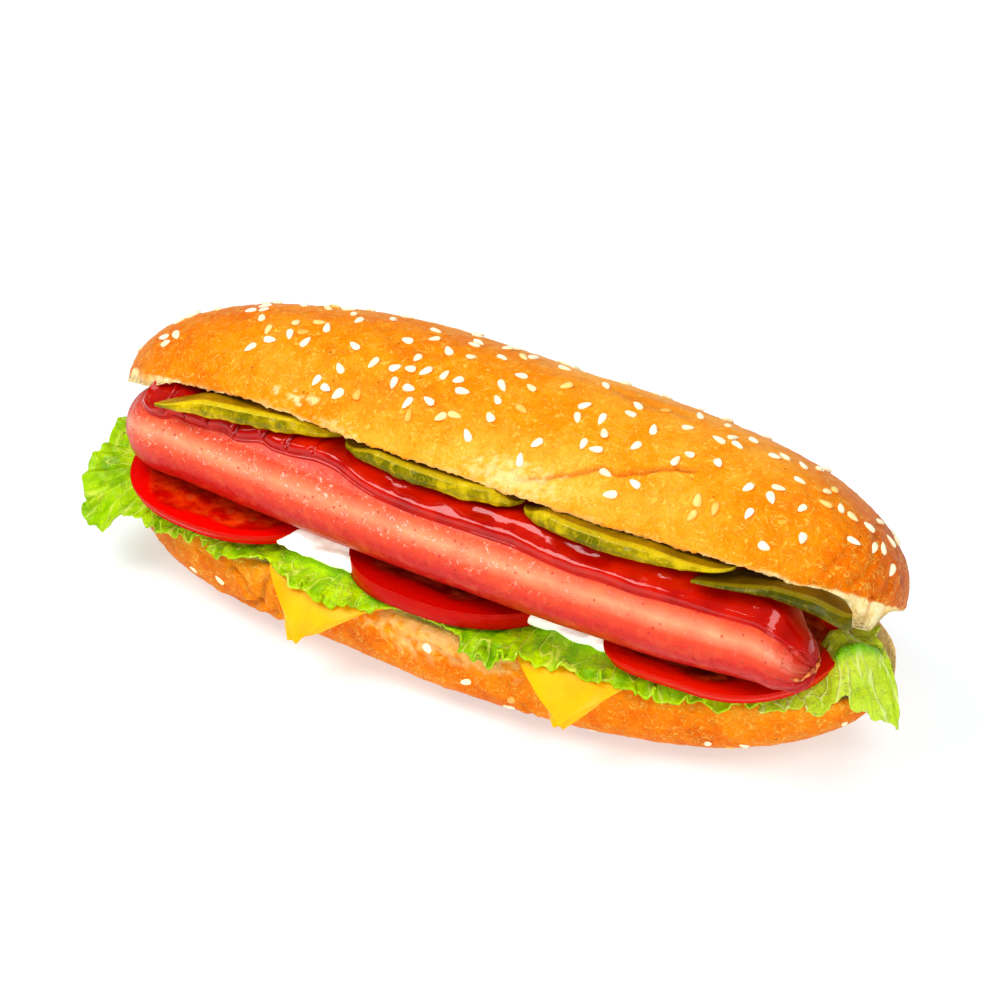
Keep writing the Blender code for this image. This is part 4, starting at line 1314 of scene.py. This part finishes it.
# for each leaf: where it starts and ends round the base's front, inner reach, height, ruffle height,
# how far its inner edge rises, the fold's radius and how far inside the base's line it starts, then
# (share, length outside, fold) along it
LEAVES = {
    "left": ((-12, 48), 11, 25.6, 1.7, 0.0, (4.5, 2.2), (
        (0.0, 6, -8), (0.15, 9, -12), (0.25, 13, -4), (0.33, 15, 16), (0.44, 17, 30), (0.52, 15, 38),
        (0.58, 10.5, 38), (0.64, 7, 30), (0.75, 5.5, 25), (0.85, 3, 20), (1.0, 3.5, 25))),
    "front_left": ((49, 118), 16, 27.2, 1.3, 0.0, (4.5, 2.2), (
        (0.0, 7.0, 22), (0.05, 6.0, 24), (0.09, 4.6, 24), (0.14, 1.6, 12), (0.21, 0.2, 8), (0.27, -1.2, 4),
        (0.33, 0.8, 12), (0.42, 3.0, 14), (0.5, 3.8, 14), (0.62, 2.6, 16), (0.72, 0.6, 20), (0.85, -2.5, 30),
        (1.0, -3.0, 40))),
    "front_right": ((117, 199), 15, 27.2, 1.6, 0.0, (4.5, 2.2), (
        (0.0, -3, 20), (0.05, -1, 20), (0.10, 5.5, 22), (0.14, 7.0, 18), (0.21, 4.5, 10), (0.27, 2.4, 4),
        (0.38, 0.8, 2), (0.48, 1.2, 4), (0.55, 0.6, 2), (0.65, 3.4, 20), (0.74, 2.4, 22), (0.82, 3.0, 30),
        (0.9, 4.4, 24), (1.0, 3.8, 20))),
    "right": ((200, 246), 11, 26.0, 0.6, 10.5, (2.5, 4.6), (
        (0.0, 3.5, 20), (0.2, 1.5, 30), (0.33, 3.0, 40), (0.43, 8.0, 62), (0.50, 11.5, 70), (0.57, 14.5, 71),
        (0.64, 17.0, 70), (0.69, 19.0, 69), (0.715, 17.0, 68), (0.74, 5.0, 50), (0.77, -2.5, 30),
        (0.85, -7.0, 30), (1.0, -8.0, 30))),
}


def base_line(degrees):
    """Points of the base's widest line: 0 is its left tip, 90 its front, 180 its right tip."""
    a = np.radians(degrees)
    x = -BASE_HALF_LENGTH * signed_power(np.cos(a), 2 / np.where(np.cos(a) > 0, *BASE_ENDS))
    return joined(x, base_centre(x) - BASE_HALF_WIDTH * np.sin(a))


LINE_ANGLES = np.arange(-80, 261, 0.5)
LINE_STEPS = np.linalg.norm(np.diff(base_line(LINE_ANGLES), axis=0), axis=1)
LINE_LENGTHS = np.append(0, np.cumsum(LINE_STEPS))
LINE_LENGTHS -= np.interp(0, LINE_ANGLES, LINE_LENGTHS)


def round_base(distance, reach):
    """Where a point lies at a distance round the base's widest line and this far outside it."""
    angle = np.interp(distance, LINE_LENGTHS, LINE_ANGLES)
    along = base_line(angle + 1) - base_line(angle - 1)
    along /= np.linalg.norm(along, axis=-1, keepdims=True)
    spot = base_line(angle)
    return spot[..., 0] + along[..., 1] * reach, spot[..., 1] - along[..., 0] * reach


def leaf_reach(distance, share, start, profile):
    """How far a leaf's edge lies outside the base's line, lobed, toothed and drawn in at both ends."""
    seeds = joined(distance, 0.0, start)
    lobes, teeth = grain(seeds, 6.5, 2.0, 2), grain(seeds, 1.6, 6.0, 2)
    shares, lengths, folds = np.transpose(profile)
    beyond = np.interp(share, shares, lengths) * (1 + 0.16 * lobes) + 1.0 * teeth + 0.9 * lobes
    beyond = beyond * np.sin(math.pi * np.clip(share, 0.03, 0.97)) ** 0.3
    return beyond, np.radians(np.interp(share, shares, folds))


def leaf_mesh(name):
    """A leaf over the base's edge: flat inside, ruffled, toothed and folded down outside."""
    (start, end), inner, level, ruffle, rise, (radius, inside), profile = LEAVES[name]
    share = row(0, 1, int((end - start) * LEAF_COLUMNS_PER_MM)).T
    distance = start + (end - start) * share
    beyond, fold = leaf_reach(distance, share, start, profile)
    part = row(0, 1, LEAF_ROWS)
    reach = -inner + (inner + beyond) * part
    wander = 0.9 * grain(joined(distance, 0.0, 40.0 + start), 12, 1.0)
    phase = math.tau * (distance / 6.4 + wander)
    edge = smoothstep((reach + 2.5) / (beyond + 2.5))
    frill = 0.8 * np.sin(phase) + 0.45 * np.sin(0.55 * phase + 2.0) + 0.5 * np.sin(2.3 * phase + 1.0) * edge
    frill = ruffle * np.clip((beyond + 2) / 4, 0.1, 1) * edge * frill
    # a rising leaf is doubled over where it bends
    doubled = rising(share, 0.36, 0.06) * falling(share, 0.77, 0.05)
    roll = (rise > 0) * bump(reach, 1.2 - inside, 1.5) * doubled
    out, drop = hang(reach + inside, radius, fold)
    reach = np.where(reach + inside > 0, out - inside, reach)
    x, y = round_base(distance + 0.7 * edge * np.cos(phase), reach)
    climb = rise * rising(share, 0.28, 0.17) * (1 - 0.45 * rising(share, 0.52, 0.22))
    grid = joined(x, y, level + climb + 0.8 * roll + np.abs(frill) * 0.25 + frill - drop)
    crinkle = 0.40 * grain(grid, 3.6, 5.0, 2) + 0.9 * grain(grid, 8, 3.0, 2) * edge
    return sheet(f"lettuce_{name}", grid, crinkle, LEAF_THICKNESS, rim=edge, vein=distance / 7.4, reach=part,
                 roll=roll)


def leaf_look(name, deep, bright, pale):
    """Thin green leaf with a pale net of veins, brighter at its frilled rim."""
    look = Look(name, Roughness=0.34, IOR=1.4, Specular_IOR_Level=0.2, Coat_Weight=0.12, Coat_Roughness=0.15,
                **translucent(0.2, 1.5, (0.5, 1.0, 0.15)))
    look.clouds(6, deep, bright)
    look.lay(look.ranged(look.painted("rim"), 0.75, 1.0), bright, 0.4)
    outwards = look.times(look.painted("reach"), 0.9)
    spread = look.result("ShaderNodeCombineXYZ", {"X": look.painted("vein"), "Y": outwards})
    wander = look.result("ShaderNodeTexNoise",
                         {"Vector": spread, "Scale": 1.3, "Detail": 1.0, "Distortion": 0.6})
    veins = look.maths("MAXIMUM", look.near_middle(wander, 0.030), look.threads(5.0, 0.012, 2.0))
    look.lay(veins, pale, 0.5)
    look.lay(look.painted("roll"), (112, 196, 4), 0.85)
    return look.finish((look.patches(2.6, 0.2, 0.8, 3.0), 0.35), (veins, 0.2))


def build_lettuce():
    """Four leaves round the base's front, the one at the right end paler."""
    frilled = leaf_look("frilled_lettuce", (124, 178, 0), (186, 222, 0), (232, 240, 110))
    pale = leaf_look("pale_lettuce", (184, 214, 30), (208, 230, 66), (240, 246, 176))
    for name in LEAVES:
        look = pale if name == "right" else frilled
        place(f"leaf_{name}", leaf_mesh(name), look, f"lettuce_{name}")


# ---------------------------------------------------------------- studio

CAMERA_AZIMUTH, CAMERA_ELEVATION = 28, 38
CAMERA_DISTANCE, CAMERA_LENS = 0.9375, 135.0
CAMERA_TARGET = Vector((-0.0026, 0.008, 0.040))
# name, azimuth, elevation, distance and side in metres, and power in watts
SOFTBOXES = (
    ("top_softbox", -50, 58, 0.9, 0.50, 4.7),
    ("front_softbox", 26, 20, 1.0, 0.44, 3.1),
    ("right_softbox", 62, 52, 1.1, 0.50, 3.4),
    ("back_softbox", 165, 50, 1.0, 0.45, 1.8),
)
ROOM_COLOUR, ROOM_LIGHT = (1.0, 1.0, 1.0, 1.0), 0.20
FLOOR_COLOUR, FLOOR_GLOW_COLOUR, FLOOR_GLOW = (0.56, 0.62, 0.64, 1.0), (0.97, 1.0, 1.0, 1.0), 0.41
FLOOR_REACH = 3.0


def aim(made, azimuth, elevation, distance):
    """Put a camera or a lamp round the object, looking at it; azimuth 0 is the object's front."""
    azimuth, elevation = math.radians(azimuth), math.radians(elevation)
    back = Vector((math.sin(azimuth) * math.cos(elevation), -math.cos(azimuth) * math.cos(elevation),
                   math.sin(elevation)))
    made.location = CAMERA_TARGET + back * distance
    made.rotation_euler = back.to_track_quat("Z", "Y").to_euler()


def add_camera():
    """The camera, in front and to the right, looking down."""
    camera = new_object("camera", bpy.data.cameras.new("camera"))
    camera.data.lens = CAMERA_LENS
    camera.data.clip_start = 0.01
    aim(camera, CAMERA_AZIMUTH, CAMERA_ELEVATION, CAMERA_DISTANCE)
    bpy.context.scene.camera = camera


def add_softbox(name, azimuth, elevation, distance, size, power):
    """A square area light that looks at the object."""
    lamp = bpy.data.lights.new(name, "AREA")
    lamp.size = size
    lamp.energy = power
    aim(new_object(name, lamp), azimuth, elevation, distance)


def add_floor():
    """A plain pale floor with a faint glow, so that shadows on it stay soft."""
    mesh = bpy.data.meshes.new("floor")
    sides = ((-1, -1), (1, -1), (1, 1), (-1, 1))
    corners = [(across * FLOOR_REACH, back * FLOOR_REACH, 0) for across, back in sides]
    mesh.from_pydata(corners, [], [(0, 1, 2, 3)])
    paper = Look("white_paper", Roughness=0.9, Base_Color=FLOOR_COLOUR, Emission_Color=FLOOR_GLOW_COLOUR,
                 Emission_Strength=FLOOR_GLOW)
    mesh.materials.append(paper.material)
    new_object("floor", mesh)


def build_studio():
    """The camera, the lights, the pale room and the floor."""
    add_camera()
    for softbox in SOFTBOXES:
        add_softbox(*softbox)
    world = bpy.data.worlds.new("pale_room")
    world.use_nodes = True
    room = world.node_tree.nodes["Background"].inputs
    room["Color"].default_value = ROOM_COLOUR
    room["Strength"].default_value = ROOM_LIGHT
    bpy.context.scene.world = world
    bpy.context.scene.view_settings.view_transform = "Standard"
    bpy.context.scene.view_settings.look = "Medium High Contrast"
    add_floor()


# ---------------------------------------------------------------- the hot dog

build_studio()
build_bun()
build_sausage()
build_ketchup()
build_pickles()
build_tomatoes()
build_mayonnaise()
build_cheese()
build_lettuce()
